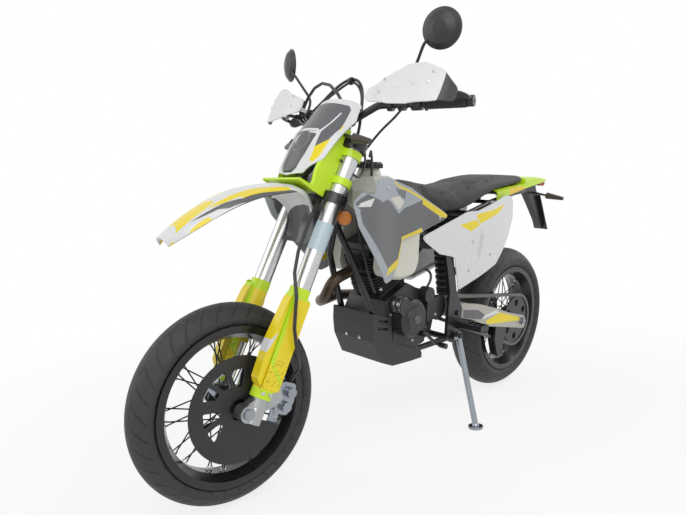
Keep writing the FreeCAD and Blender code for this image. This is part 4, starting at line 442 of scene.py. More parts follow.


# ---------------------------------------------------------------------------------------------
# Modelling one by one
# ---------------------------------------------------------------------------------------------
class Bench:
    """Operators on one piece at a time."""

    @staticmethod
    def clear() -> None:
        """Deselects everything."""
        if bpy.context.object and bpy.context.object.mode != "OBJECT":
            bpy.ops.object.mode_set(mode="OBJECT")
        bpy.ops.object.select_all(action="DESELECT")

    @staticmethod
    def only(piece: Any) -> Any:
        """Makes one piece the selected and active one."""
        Bench.clear()
        piece.select_set(True)
        bpy.context.view_layer.objects.active = piece
        return piece

    @staticmethod
    def apply(piece: Any) -> None:
        """Applies every modifier in order."""
        Bench.only(piece)
        for modifier in list(piece.modifiers):
            bpy.ops.object.modifier_apply(modifier=modifier.name)

    @staticmethod
    def place(piece: Any, placement: Matrix) -> Any:
        """Moves a piece's mesh and leaves its object at the origin."""
        piece.data.transform(placement)
        return piece

    @staticmethod
    def taken(name: str) -> Any:
        """The piece that an operator has just added, with its own transform put into its mesh."""
        piece = bpy.context.object
        piece.name = piece.data.name = name
        bpy.ops.object.transform_apply(location=True, rotation=True, scale=True)
        return piece

    @staticmethod
    def turned(name: str, profile: Sequence[tuple[float, float]], steps: int = 48, sharp: float = 35.0) -> Any:
        """A lathe shape about z, from (radius, height) pairs in millimetres, closed at the axis."""
        Bench.clear()
        mesh = bpy.data.meshes.new(name)
        points = [(r * 0.001, 0.0, h * 0.001) for r, h in profile]
        mesh.from_pydata(points, [(i, i + 1) for i in range(len(points) - 1)], [])
        piece = bpy.data.objects.new(name, mesh)
        bpy.context.scene.collection.objects.link(piece)
        Bench.only(piece)
        bpy.ops.object.mode_set(mode="EDIT")
        bpy.ops.mesh.select_all(action="SELECT")
        bpy.ops.mesh.spin(steps=steps, angle=math.tau, center=(0, 0, 0), axis=(0, 0, 1))
        bpy.ops.mesh.select_all(action="SELECT")
        bpy.ops.mesh.remove_doubles(threshold=0.000005)
        bpy.ops.mesh.normals_make_consistent(inside=False)
        bpy.ops.object.mode_set(mode="OBJECT")
        bpy.ops.object.shade_smooth_by_angle(angle=math.radians(sharp))
        return piece

    @staticmethod
    def tube(name: str, points: Sequence[Vector], radius: float, sides: int = 5) -> Any:
        """A round tube along a smooth line through control points, radius in millimetres."""
        Bench.clear()
        curve = bpy.data.curves.new(name, "CURVE")
        curve.dimensions, curve.bevel_depth, curve.bevel_resolution = "3D", radius * 0.001, sides
        curve.use_fill_caps = True
        spline = curve.splines.new("NURBS")
        spline.points.add(len(points) - 1)
        for knot, point in zip(spline.points, points):
            knot.co = (*point, 1.0)
        spline.order_u, spline.use_endpoint_u, spline.resolution_u = 3, True, 8
        piece = bpy.data.objects.new(name, curve)
        bpy.context.scene.collection.objects.link(piece)
        Bench.only(piece)
        bpy.ops.object.convert(target="MESH")
        piece = bpy.context.object
        bpy.ops.object.shade_smooth()
        return piece

    @staticmethod
    def spread(name: str, model: Any, placements: Iterable[Matrix]) -> Any:
        """Copies a model to each placement and joins the copies into one piece."""
        copies = []
        for placement in (found for found in placements if found is not None):
            piece = bpy.data.objects.new(name, model.data.copy())
            bpy.context.scene.collection.objects.link(piece)
            copies.append(Bench.place(piece, placement))
        bpy.data.objects.remove(model)
        return Bench.joined(name, copies)

    @staticmethod
    def joined(name: str, pieces: Sequence[Any]) -> Any:
        """Joins pieces into one."""
        Bench.clear()
        for piece in pieces:
            piece.select_set(True)
        bpy.context.view_layer.objects.active = pieces[0]
        if len(pieces) > 1:
            bpy.ops.object.join()
        pieces[0].name = pieces[0].data.name = name
        return pieces[0]

    @staticmethod
    def bolt(radius: float = 5.0, height: float = 4.0) -> Any:
        """A flanged hexagon bolt with a dished head, standing on z, sizes in millimetres."""
        Bench.clear()
        bpy.ops.mesh.primitive_cylinder_add(vertices=6, radius=radius * 0.001, depth=height * 0.001,
                                            location=(0, 0, height * 0.0005 + 0.0008))
        head = Bench.taken("bolt_head")
        bpy.ops.object.mode_set(mode="EDIT")
        bpy.ops.mesh.select_all(action="SELECT")
        bpy.ops.mesh.bevel(offset=radius * 0.00012, segments=1)
        bpy.ops.object.mode_set(mode="OBJECT")
        flange = Bench.turned("bolt_flange", [(0, 1.6), (radius * 0.7, 1.6), (radius * 1.25, 1.0),
                                              (radius * 1.25, -0.5), (0, -0.5)], 16)
        dish = Bench.turned("bolt_dish", [(0, height + 0.9), (radius * 0.55, height + 0.9),
                                          (radius * 0.62, height + 1.2), (radius * 0.5, height + 1.3),
                                          (0, height + 1.1)], 12)
        return Bench.joined("bolt", [head, flange, dish])

    @staticmethod
    def finished(piece: Any, body: Body, material: Any) -> Any:
        """Gives a piece its material and body."""
        piece.data.materials.clear()
        piece.data.materials.append(material)
        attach(piece, body.value)
        LOG.info("piece %s: %d faces", piece.name, len(piece.data.polygons))
        return piece

    @staticmethod
    def copy_of(node: str, name: str) -> Any:
        """A merged copy of a CAD node's mesh as a new piece."""
        source = frame["nodes"][node]
        piece = bpy.data.objects.new(name, source.data.copy())
        bpy.context.scene.collection.objects.link(piece)
        Bench.only(piece)
        piece.data.materials.clear()
        bpy.ops.object.mode_set(mode="EDIT")
        bpy.ops.mesh.select_all(action="SELECT")
        bpy.ops.mesh.remove_doubles(threshold=0.00002)
        bpy.ops.object.mode_set(mode="OBJECT")
        return piece


# ---------------------------------------------------------------------------------------------
# Sub-assemblies
# ---------------------------------------------------------------------------------------------
@dataclass
class Seat:
    """Long padded seat with a grippy cover."""

    machine: Machine
    voxel: float = 0.006
    swell: float = 0.008
    fill: float = 0.8

    def build(self) -> Any:
        """Puffs a copy of the plain seat and dresses it."""
        piece = Bench.copy_of("seat", "seat_pad")
        piece.data.remesh_voxel_size = self.voxel
        Bench.only(piece)
        bpy.ops.object.voxel_remesh()
        start = [v.co.copy() for v in piece.data.vertices]
        centre = sum(start, Vector()) / len(start)
        for vertex in piece.data.vertices:
            vertex.co = centre + (vertex.co - centre) * 0.985
        self.puff(piece)
        smooth = piece.modifiers.new("even", "SMOOTH")
        smooth.factor, smooth.iterations = 0.5, 6
        Bench.apply(piece)
        bpy.ops.object.shade_smooth()
        piece.data.materials.append(self.cover().make())
        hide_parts("seat")
        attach(piece, "chassis")
        return piece

    def puff(self, piece: Any) -> None:
        """Lets air pressure crown the pad, with a cap on how far it moves."""
        start = [v.co.copy() for v in piece.data.vertices]
        cloth = piece.modifiers.new("air", "CLOTH")
        cloth.settings.use_pressure = True
        cloth.settings.uniform_pressure_force = 4.0
        cloth.settings.effector_weights.gravity = 0.0
        for number in range(1, 21):
            bpy.context.scene.frame_set(number)
        Bench.apply(piece)
        for vertex, old in zip(piece.data.vertices, start):
            move = vertex.co - old
            if move.length > self.swell:
                vertex.co = old + move.normalized() * self.swell
        bpy.context.scene.frame_set(1)

    def cover(self) -> Moulded:
        """Black cover with a pebbled grip."""
        return Moulded("seat_cover", (0.02, 0.02, 0.022), 0.62, 0.5, 900.0, 0.3)


@dataclass
class Studio:
    """Pale floor and backdrop, soft lamps and the camera."""

    machine: Machine
    eye: Colour = (1.7571, 1.3623, 0.8351)
    yaw: float = 224.45
    pitch: float = -4.74
    roll: float = -2.56
    focal: float = 32.36

    def floor(self) -> None:
        """A white floor that keeps a soft shadow."""
        bpy.ops.mesh.primitive_plane_add(size=40.0, location=(0, 0, -0.0005))
        floor = bpy.context.object
        floor.name = "studio_floor"
        board = Board("studio_paper")
        board.set(Base_Color=(0.94, 0.94, 0.94), Roughness=0.8)
        path = board.node("ShaderNodeLightPath", {}, {})
        seen = Wire(board, path.outputs["Is Camera Ray"]).most(Wire(board, path.outputs["Is Glossy Ray"])).most(
            Wire(board, path.outputs["Is Transmission Ray"]))
        glow = board.node("ShaderNodeEmission", {}, {"Color": (1.0, 1.0, 1.0), "Strength": 1.0})
        x, y, _ = board.places(Axes(Vector(), Vector((1, 0, 0)), Vector((0, 1, 0)), Vector((0, 0, 1))))
        away = ((x * x + y * y).root() * 0.0006 - 0.7).most(0).least(1)
        mixed = board.node("ShaderNodeMixShader", {}, {0: seen * (away * 0.2 + 0.8),
                                                       1: Wire(board, board.shader.outputs[0]),
                                                       2: Wire(board, glow.outputs[0])})
        board.feed(board.tree.nodes["Material Output"].inputs["Surface"], Wire(board, mixed.outputs[0]))
        board.material.cycles.emission_sampling = "NONE"
        floor.data.materials.append(board.material)

    def world(self) -> None:
        """White surroundings for the camera, glossy and clear surfaces; plain light for the rest."""
        world = bpy.data.worlds.new("studio_air")
        bpy.context.scene.world = world
        world.use_nodes = True
        tree = world.node_tree
        background = tree.nodes["Background"]
        path = tree.nodes.new("ShaderNodeLightPath")
        either = tree.nodes.new("ShaderNodeMath")
        either.operation = "MAXIMUM"
        tree.links.new(path.outputs["Is Camera Ray"], either.inputs[0])
        mirror = tree.nodes.new("ShaderNodeMath")
        mirror.operation = "MAXIMUM"
        tree.links.new(path.outputs["Is Glossy Ray"], mirror.inputs[0])
        tree.links.new(path.outputs["Is Transmission Ray"], mirror.inputs[1])
        tree.links.new(mirror.outputs[0], either.inputs[1])
        strength = tree.nodes.new("ShaderNodeMapRange")
        strength.inputs["To Min"].default_value = 0.42
        strength.inputs["To Max"].default_value = 1.0
        tree.links.new(either.outputs[0], strength.inputs["Value"])
        background.inputs["Color"].default_value = (1, 1, 1, 1)
        tree.links.new(strength.outputs[0], background.inputs["Strength"])

    def lamp(self, name: str, place: Colour, size: float, power: float) -> None:
        """A soft square lamp that faces the machine."""
        bpy.ops.object.light_add(type="AREA", location=place)
        lamp = bpy.context.object
        lamp.name = name
        lamp.data.size, lamp.data.energy = size, power
        lamp.rotation_euler = (Vector((0, 0, 0.6)) - Vector(place)).to_track_quat("-Z", "Y").to_euler()

    def camera(self) -> None:
        """The camera at the machine's front left."""
        yaw, pitch, roll = (math.radians(a) for a in (self.yaw, self.pitch, self.roll))
        ahead = Vector((math.cos(yaw) * math.cos(pitch), math.sin(yaw) * math.cos(pitch), math.sin(pitch)))
        right = ahead.cross(Vector((0, 0, 1))).normalized()
        up = right.cross(ahead)
        across = right * math.cos(roll) + up * math.sin(roll)
        above = up * math.cos(roll) - right * math.sin(roll)
        bpy.ops.object.camera_add()
        camera = bpy.context.object
        camera.name = "studio_camera"
        turned = Matrix((across, above, -ahead)).transposed().to_4x4()
        turned.translation = Vector(self.eye)
        camera.matrix_world = turned
        camera.data.lens, camera.data.sensor_width = self.focal, 36.0
        camera.data.clip_start = 0.05
        bpy.context.scene.camera = camera

    def build(self) -> None:
        """Sets up the whole studio."""
        Bench.clear()
        self.camera()
        self.floor()
        self.world()
        self.lamp("key_lamp", (2.6, 2.2, 3.2), 3.0, 72.0)
        self.lamp("fill_lamp", (3.0, -2.4, 2.4), 3.0, 34.0)
        self.lamp("rear_lamp", (-3.0, 1.6, 2.8), 3.0, 46.0)
        bpy.context.scene.view_settings.view_transform = "Standard"


@dataclass
class Dressing:
    """Finishes of the CAD nodes that keep their shape."""

    machine: Machine
    chassis: Sequence[str] = ("main_frame", "subframe", "plate_bracket", "footpegs", "foot_levers",
                              "chain_guide", "triple_clamps")

    def shroud(self, board: Board) -> Wire:
        """Silver-edged shroud with a dark field, a white block and yellow edges."""
        x, _, z = board.places(self.machine.bike)
        dark, amber = GREY, (0.80, 0.62, 0.01)
        shapes = [
            (dark, [(1165, 841), (1012, 872), (987, 860), (943, 824), (917, 742), (925, 650), (968, 637),
                    (1149, 806)]),
            (dark, [(944, 824), (909, 842), (801, 864), (808, 772), (918, 741)]),
            (dark, [(802, 864), (643, 799), (788, 759), (809, 772)]),
            (dark, [(1192, 868), (1123, 892), (1047, 868), (1090, 847), (1155, 840)]),
            (WHITE, [(1176, 856), (1160, 867), (1089, 879), (1110, 854)]),
            ((0.16, 0.165, 0.175), [(962, 905), (900, 896), (908, 868), (940, 882)]),
            (CREAM, [(993, 876), (937, 880), (912, 861), (943, 837)]),
            (amber, [(962, 927), (940, 915), (941, 909), (965, 921)]),
            (amber, [(940, 915), (878, 898), (880, 891), (942, 908)]),
            (amber, [(878, 898), (789, 867), (792, 860), (880, 891)]),
            (amber, [(801, 871), (643, 806), (643, 797), (690, 802), (804, 851)]),
            (amber, [(990, 628), (925, 650), (922, 682), (982, 654)]),
            (amber, [(930, 640), (908, 745), (917, 745), (932, 670)]),
            (amber, [(918, 735), (798, 757), (802, 771), (921, 749)])]
        return board.print_shapes(SILVER, x, z, shapes)

    def panel(self, board: Board) -> Wire:
        """White side panel with two yellow blocks, and a faint crease whose leaf is painted light grey as
        painted shade.
        """
        x, _, z = board.places(self.machine.bike)
        shapes = [
            # Painted shade: this light grey leaf stands for the shade in the panel's crease.
            ((0.62, 0.63, 0.65), [(417, 744), (389, 715), (414, 624), (433, 649)]),
            (YELLOW, [(563, 767), (449, 781), (423, 760), (487, 739)]),
            (YELLOW, [(449, 801), (303, 816), (266, 801), (423, 765), (445, 787)]),
            (YELLOW, [(303, 816), (257, 827), (150, 850), (248, 814), (266, 801)])]
        return board.print_shapes(WHITE, x, z, shapes)

    def beak(self, board: Board) -> Wire:
        """White front fender with a yellow tip, yellow and grey stripes, and its tail behind the fork painted
        dark grey as painted shade of the underside.
        """
        x, y, _ = board.places(self.machine.fork)
        side = abs(y)
        shapes = [
            (YELLOW, [(349, -1), (349, 29), (381, 38), (421, 37), (418, -1)]),
            (YELLOW, [(414, 34), (369, 65), (330, 79), (340, 86), (385, 68), (424, 38)]),
            (YELLOW, [(396, 43), (350, 39), (323, 35), (302, 83), (339, 60)]),
            (YELLOW, [(323, 35), (201, 77), (180, 97), (302, 83)]),
            (GREY, [(399, 42), (339, 60), (302, 83), (330, 80), (373, 58)]),
            (GREY, [(310, 80), (180, 97), (60, 118), (60, 140), (200, 118), (330, 80)])]
        base = board.print_shapes(WHITE, x, side, shapes)
        # Painted shade: behind the fork (x under 62 mm) the fender is painted dark grey, where its underside
        # lies in shade.
        return board.blend(x < 62, base, (0.10, 0.105, 0.11))

    def guard(self, board: Board) -> Wire:
        """Yellow fork guard with a lime ridge, rim and foot, a white flash and a dotted lower part."""
        x, _, z = board.places(self.machine.fork)
        ridge = board.inside(x, z, [(71, 340), (61, 340), (50, 148), (64, 148)]).most(
            board.inside(x, z, [(64, 148), (50, 148), (2, 108), (8, 102)]))
        field = board.blend((z > 342).most(ridge), YELLOW, LIME)
        dots = (board.cells(150.0) < 0.34).least(z < 165).least(z > 62).least(x < 62)
        field = board.blend(dots, field, (0.50, 0.42, 0.01))
        flash = board.inside(x, z, [(70, 236), (90, 204), (92, 160), (80, 190)])
        foot = z < 76
        return board.blend(foot, board.blend(flash, field, WHITE), LIME)

    def mask(self, board: Board) -> Wire:
        """Grey headlight mask with a white border, yellow lower corners and white curves."""
        _, y, z = board.places(self.machine.fork)
        side = abs(y)
        shapes = [
            (GREY, [(0, 944), (84, 938), (96, 925), (103, 855), (88, 790), (60, 742), (0, 742)]),
            (YELLOW, [(64, 776), (97, 812), (88, 748), (78, 727), (60, 731)]),
            (YELLOW, [(96, 925), (99, 925), (106, 855), (97, 800), (94, 812), (102, 856)]),
            (WHITE, [(74, 908), (79, 908), (72, 868), (64, 858)]),
            (WHITE, [(72, 868), (64, 858), (50, 826), (58, 820)]),
            (WHITE, [(0, 838), (46, 838), (61, 824), (67, 736), (55, 700), (0, 700)])]
        return board.print_shapes(WHITE, side, z, shapes)

    def tail(self, board: Board) -> Wire:
        """Lime tail with golden stripes."""
        x, y, _ = board.places(self.machine.bike)
        side = abs(y)
        shapes = [((0.86, 0.60, 0.01), [(120, 74), (-40, 62), (-150, 52), (-150, 62), (-40, 74), (120, 88)])]
        return board.print_shapes(LIME, x, side, shapes)

    def arm(self, board: Board) -> Wire:
        """Champagne alloy with a grey field, a white stripe and a yellow hatch."""
        x, _, z = board.places(self.machine.bike)
        shapes = [
            (GREY, [(471, 432), (363, 415), (333, 372), (389, 382), (471, 400)]),
            (GREY, [(363, 415), (309, 386), (333, 372), (389, 382)]),
            (WHITE, [(309, 386), (219, 393), (190, 378), (333, 372)]),
            (YELLOW, [(190, 378), (28, 333), (11, 315), (285, 343), (300, 360)])]
        return board.print_shapes((0.46, 0.44, 0.39), x, z, shapes)

    def hand_shield(self, board: Board) -> Wire:
        """White shields on black arms that run back to the bar."""
        x, y, _ = board.places(self.machine.fork)
        return board.blend((x < 62).most(abs(y) > 431), WHITE, BLACK)

    def sleeve(self, board: Board) -> Wire:
        """Where the upper tubes are bare metal: all but the printed band at the front left."""
        _, y, z = board.places(self.machine.fork)
        return 1 - (z > 492).least(z < 578).least(y > 0)

    def tread(self, board: Board, wheel: Axes, half: float, count: int) -> Wire:
        """Slanted sipes, a middle groove and two wavy grooves round a tyre, one in the grooves of the rubber.

        Args:
            board: the material's board.
            wheel: the wheel's frame.
            half: half the tread's width in millimetres.
            count: sipes round the tyre.
        """
        x, y, z = board.places(wheel)
        side = abs(y)
        turn = z.angle_over(x) * (count / math.tau)
        slant = (turn + side * 0.022).fraction()
        sipe = (slant < 0.13).least(side > half * 0.30).least(side < half * 0.96)
        middle = (turn * 0.5 - y * 0.02).fraction()
        shaded_groove = (middle < 0.05).least(side < half * 0.42)
        wave = abs(side - half * 0.24 - (turn * math.tau * 0.5).sine() * 3.0) < 1.5
        return sipe.most(shaded_groove).most(wave)

    def rubber(self, node: str, wheel: Axes, half: float, count: int) -> None:
        """Dresses a tyre: its grooves are painted near-black as painted shade, and sunk with a bump."""
        board = Board(node + "_rubber")
        shaded_groove, marks = self.tread(board, wheel, half, count), board.noise(40.0, 4.0)
        # Painted shade: the grooves are painted darker than the rest of the rubber.
        board.set(Base_Color=board.blend(shaded_groove, (0.026, 0.026, 0.027), (0.006, 0.006, 0.006)),
                  Roughness=0.62 + (marks - 0.5) * 0.3)
        board.raise_surface((1 - shaded_groove) + board.noise(900.0, 2.0) * 0.1, 0.8, 0.0025)
        for slot in frame["nodes"][node].material_slots:
            slot.material = board.material

    def build(self) -> None:
        """Dresses every node."""
        black = Moulded("frame_enamel", (0.012, 0.012, 0.014), 0.3, 0.12)
        dress(self.chassis, black)
        dress(("skid_plate",), Moulded("skid_plastic", (0.02, 0.02, 0.022), 0.5, 0.35))
        dress(("crankcase",), Moulded("case_paint", (0.018, 0.019, 0.021), 0.42, 0.4, 1400.0))
        dress(("cylinder",), Moulded("fin_paint", (0.022, 0.022, 0.024), 0.45, 0.4, 1400.0))
        dress(("exhaust_header",), Metal("header_steel", (0.10, 0.075, 0.055), 0.42))
        dress(("silencer",), Metal("silencer_alloy", (0.44, 0.44, 0.45), 0.35))
        dress(("carburettor", "airbox"), Moulded("box_plastic", (0.02, 0.02, 0.022), 0.55))
        dress(("fuel_tank",), Moulded("tank_plastic", CREAM, 0.38, 0.08, 1800.0))
        dress(("fuel_cap",), Moulded("cap_plastic", (0.014, 0.014, 0.016), 0.4))
        dress(("tank_shrouds",), Graphic("shroud_print", WHITE, 0.28, 0.08, draw=self.shroud))
        dress(("side_panels",), Graphic("panel_print_and_shade", WHITE, 0.28, 0.08, draw=self.panel))
        dress(("front_fender",), Graphic("beak_print_and_shade", WHITE, 0.28, 0.08, draw=self.beak))
        dress(("fork_guards",), Graphic("guard_print", YELLOW, 0.3, 0.1, draw=self.guard))
        dress(("headlight_mask",), Graphic("mask_print", GREY, 0.28, 0.08, draw=self.mask))
        dress(("rear_fender",), Graphic("tail_print", LIME, 0.3, 0.08, draw=self.tail))
        dress(("mask_bracket",), Moulded("bracket_plastic", LIME, 0.32, 0.1))
        dress(("hand_guards",), Graphic("hand_guard_plastic", WHITE, 0.34, 0.04, draw=self.hand_shield))
        dress(("tail_light",), Moulded("tail_lens", (0.45, 0.01, 0.01), 0.12, 0.1))
        dress(("rear_indicators", "front_indicators"),
              Moulded("indicator_lens", (0.05, 0.035, 0.03), 0.12, 0.1))
        dress(("swingarm",), Graphic("arm_alloy", SILVER, 0.38, 0.05, draw=self.arm))
        dress(("shock_absorber",), Moulded("spring_enamel", (0.012, 0.012, 0.013), 0.35))
        dress(("drive_chain",), Metal("chain_steel", (0.16, 0.15, 0.14), 0.4))
        dress(("rear_sprocket", "front_hub", "rear_hub"), Moulded("hub_enamel", (0.015, 0.015, 0.016), 0.34))
        dress(("front_rim", "rear_rim"), Moulded("rim_enamel", (0.01, 0.01, 0.011), 0.22, 0.06))
        self.rubber("front_tyre", self.machine.front_wheel, 57.0, 34)
        self.rubber("rear_tyre", self.machine.rear_wheel, 72.0, 34)
        dress(("rear_axle", "front_axle", "front_caliper", "rear_caliper", "front_brake_disc",
               "rear_brake_disc", "side_stand"), Metal("bright_steel", SILVER, 0.24))
        dress(("fork_tubes",),
              TwoPart("fork_alloy", (0.50, 0.62, 0.68), (0.60, 0.61, 0.62), self.sleeve, 0.3, 0.27))
        dress(("fork_legs",), Metal("leg_alloy", (0.45, 0.46, 0.47), 0.34))
        dress(("handlebar", "levers", "mirrors", "instrument", "brake_hose", "disc_guard"),
              Moulded("control_plastic", (0.014, 0.014, 0.015), 0.4))
        dress(("headlight",), Lens("lamp_lens", (0.55, 0.57, 0.6), 0.22))


@dataclass
class Finishes:
    """Materials that the small pieces share."""

    bolt: Any = field(default_factory=lambda: Metal("bolt_plating", STEEL, 0.26).make())
    black: Any = field(default_factory=lambda: Moulded("cable_sheath", BLACK, 0.42, 0.15).make())
    rib: Any = field(default_factory=lambda: Moulded("grip_rubber", (0.018, 0.018, 0.019), 0.7, 0.4).make())
    chrome: Any = field(
        default_factory=lambda: Metal("reflector_chrome", (0.8, 0.81, 0.82), 0.1, bump=0.02).make())
    amber: Any = field(
        default_factory=lambda: Moulded("amber_reflector", (0.55, 0.17, 0.01), 0.14, 0.3, 700.0).make())
    glass: Any = field(
        default_factory=lambda: Metal("mirror_glass", (0.86, 0.87, 0.88), 0.03, bump=0.01).make())


@dataclass
class FrontEnd:
    """Small pieces of the steered front end."""

    machine: Machine
    finishes: Finishes
    screw: float = 4.0
    grip: float = 17.0
    grip_length: float = 118.0
    bar_end: Sequence[float] = (-48.0, 410.0, 1002.0)
    bar_bend: Sequence[float] = (46.0, 158.0, 959.0)
    mirror: Sequence[float] = (91.0, 357.0, 1151.0)
    mirror_way: Sequence[float] = (-0.84, -0.34, 0.42)

    def guard_screws(self) -> Any:
        """Four screws through each hand guard."""
        places = []
        for side in (1, -1):
            for y, z in ((215, 962), (222, 1000), (372, 985), (376, 1018)):
                places.append(self.machine.fork.land("hand_guards", (400, side * y, z), (-1, 0, 0)))
        return Bench.finished(Bench.spread("hand_guard_screws", Bench.bolt(self.screw, 2.4), places),
                              Body.STEERING, self.finishes.bolt)

    def fork_bolts(self) -> Any:
        """Bolts of the fork guards and axle clamps."""
        fork, places = self.machine.fork, []
        for side in (1, -1):
            for x, z in ((28, 66), (48, 66), (58, 340)):
                places.append(fork.land("fork_guards", (x, side * 300, z), (0, -side, 0)))
            for z in (-16, 16):
                places.append(fork.land("fork_legs", (300, side * 122, z), (-1, 0, 0)))
        return Bench.finished(Bench.spread("fork_bolts", Bench.bolt(4.6, 3.6), places), Body.STEERING,
                              self.finishes.bolt)

    def lamp_inside(self) -> Any:
        """Bowl, projector and bulb behind the clear lens."""
        fork = self.machine.fork
        bowl = Bench.turned("lamp_bowl", [(6, 0), (16, 2), (26, 8), (32, 18), (34, 26), (35, 26), (35, 24),
                                          (33, 16), (27, 6), (16, 0), (6, -2)], 40)
        eye = Bench.turned("lamp_eye", [(0, 22), (9, 19), (15, 13), (17, 6), (17, 0), (0, 0)], 32)
        upper = Bench.joined("lamp_upper", [bowl, eye])
        lower = Bench.turned("lamp_lower", [(5, 0), (14, 3), (20, 10), (22, 18), (23, 18), (21, 9), (14, 1),
                                            (5, -2)], 32)
        for model, height in ((upper, 790), (lower, 722)):
            seat = fork.land("headlight", (400, 0, height), (-1, 0, 0))
            Bench.place(model, Matrix.Translation(fork.x * -0.034) @ seat)
        return Bench.finished(Bench.joined("lamp_reflectors", [upper, lower]), Body.STEERING,
                              self.finishes.chrome)

    def lamp_shell(self) -> Any:
        """Dark shell inside the lamp, just behind the clear lens."""
        shell = Bench.copy_of("headlight", "lamp_shell")
        middle = self.machine.fork.at(110, 0, 760)
        shell.data.transform(Matrix.Translation(middle) @ Matrix.Scale(0.94, 4) @ Matrix.Translation(-middle))
        shell.data.transform(Matrix.Translation(self.machine.fork.x * -0.006))
        return Bench.finished(shell, Body.STEERING, self.finishes.black)

    def contour_lines(self) -> Any:
        """Raised mouldings across each hand guard."""
        fork, runs = self.machine.fork, []
        rows = (((190, 986), (236, 992), (286, 1012), (340, 1020), (392, 1006)),
                ((196, 958), (246, 962), (300, 970), (352, 962), (404, 966)))
        for side in (1, -1):
            for row in rows:
                found = [fork.land("hand_guards", (400, side * y, z), (-1, 0, 0)) for y, z in row]
                line = [place.translation for place in found if place is not None]
                runs.append(Bench.tube("contour", line, 1.3))
        return Bench.finished(Bench.joined("guard_contours", runs), Body.STEERING,
                              Moulded("contour_plastic", WHITE, 0.34, 0.04, worn=0.02).make())

    def grips(self) -> Any:
        """Ribbed rubber over each grip."""
        end, bend = Vector(self.bar_end), Vector(self.bar_bend)
        along = (end - bend).normalized()
        start = end - along * self.grip_length
        profile = [(self.grip - 0.5, 0)]
        for step in range(14):
            low = 4 + step * 7.6
            profile += [(self.grip + 0.1, low), (self.grip + 1.3, low + 1.2), (self.grip + 1.3, low + 3.6),
                        (self.grip + 0.1, low + 4.8)]
        profile.append((self.grip - 0.5, self.grip_length - 2))
        sleeve = Bench.turned("grip_sleeve", profile, 36)
        places = [self.machine.fork.seat_at((start.x, side * start.y, start.z),
                                            (along.x, side * along.y, along.z))
                  for side in (1, -1)]
        return Bench.finished(Bench.spread("grip_ribs", sleeve, places), Body.STEERING, self.finishes.rib)

    def mirror_glasses(self) -> Any:
        """Glass of each round mirror, on the rider's side."""
        x, y, z = self.mirror
        way = self.mirror_way
        places = [self.machine.fork.land("mirrors",
                                         (x + way[0] * 90, side * (y + way[1] * 90), z + way[2] * 90),
                                         (-way[0], -side * way[1], -way[2])) for side in (1, -1)]
        glass = Bench.turned("mirror_glass", [(0, 1.4), (30, 1.1), (49, 0.6), (50, -0.4), (0, -0.4)], 48)
        return Bench.finished(Bench.spread("mirror_glasses", glass, places), Body.STEERING, self.finishes.glass)

    def cables(self) -> Any:
        """Throttle and clutch cables that loop over the mask, with their clip."""
        fork = self.machine.fork
        loops = []
        for number, (lift, y0) in enumerate(((0, -60), (-12, -40))):
            points = [fork.at(*p) for p in ((38, -196, 962), (44, -150, 990), (58, y0, 1052 + lift),
                                            (60, 10, 1068 + lift),
                                            (52, 62, 1030 + lift), (30, 70, 952), (4, 64, 880), (-12, 40, 800))]
            loops.append(Bench.tube("cable", points, 4.0 if number else 4.6))
        left = [fork.at(*p) for p in ((36, 262, 962), (20, 226, 936), (0, 150, 900), (-18, 90, 842),
                                      (-16, 44, 770))]
        loops.append(Bench.tube("cable", left, 3.6))
        turn = [fork.at(*p) for p in ((66, 102, 772), (20, 128, 742), (-18, 118, 752), (-34, 96, 820),
                                      (-8, 76, 886))]
        loops.append(Bench.tube("cable", turn, 3.4))
        clip = Bench.turned("cable_clip", [(6, -7), (11, -7), (12, -5), (12, 5), (11, 7), (6, 7)], 20)
        Bench.place(clip, fork.seat_at((60, 0, 1055), (0.1, 1, 0.1)))
        return Bench.finished(Bench.joined("control_cables", loops + [clip]), Body.STEERING,
                              self.finishes.black)

    def clamp_bolts(self) -> Any:
        """Pinch bolts of the triple clamps and the handlebar clamp."""
        fork, places = self.machine.fork, []
        for side in (1, -1):
            for z in (650, 668, 850):
                places.append(fork.land("triple_clamps", (300, side * 78, z), (-1, 0, 0)))
        return Bench.finished(Bench.spread("clamp_bolts", Bench.bolt(4.4, 4.0), places), Body.STEERING,
                              self.finishes.bolt)

    def build(self) -> list[Any]:
        """Builds every piece."""
        return [self.guard_screws(), self.fork_bolts(), self.lamp_shell(), self.lamp_inside(),
                self.contour_lines(), self.grips(), self.mirror_glasses(),
                self.cables(), self.clamp_bolts()]


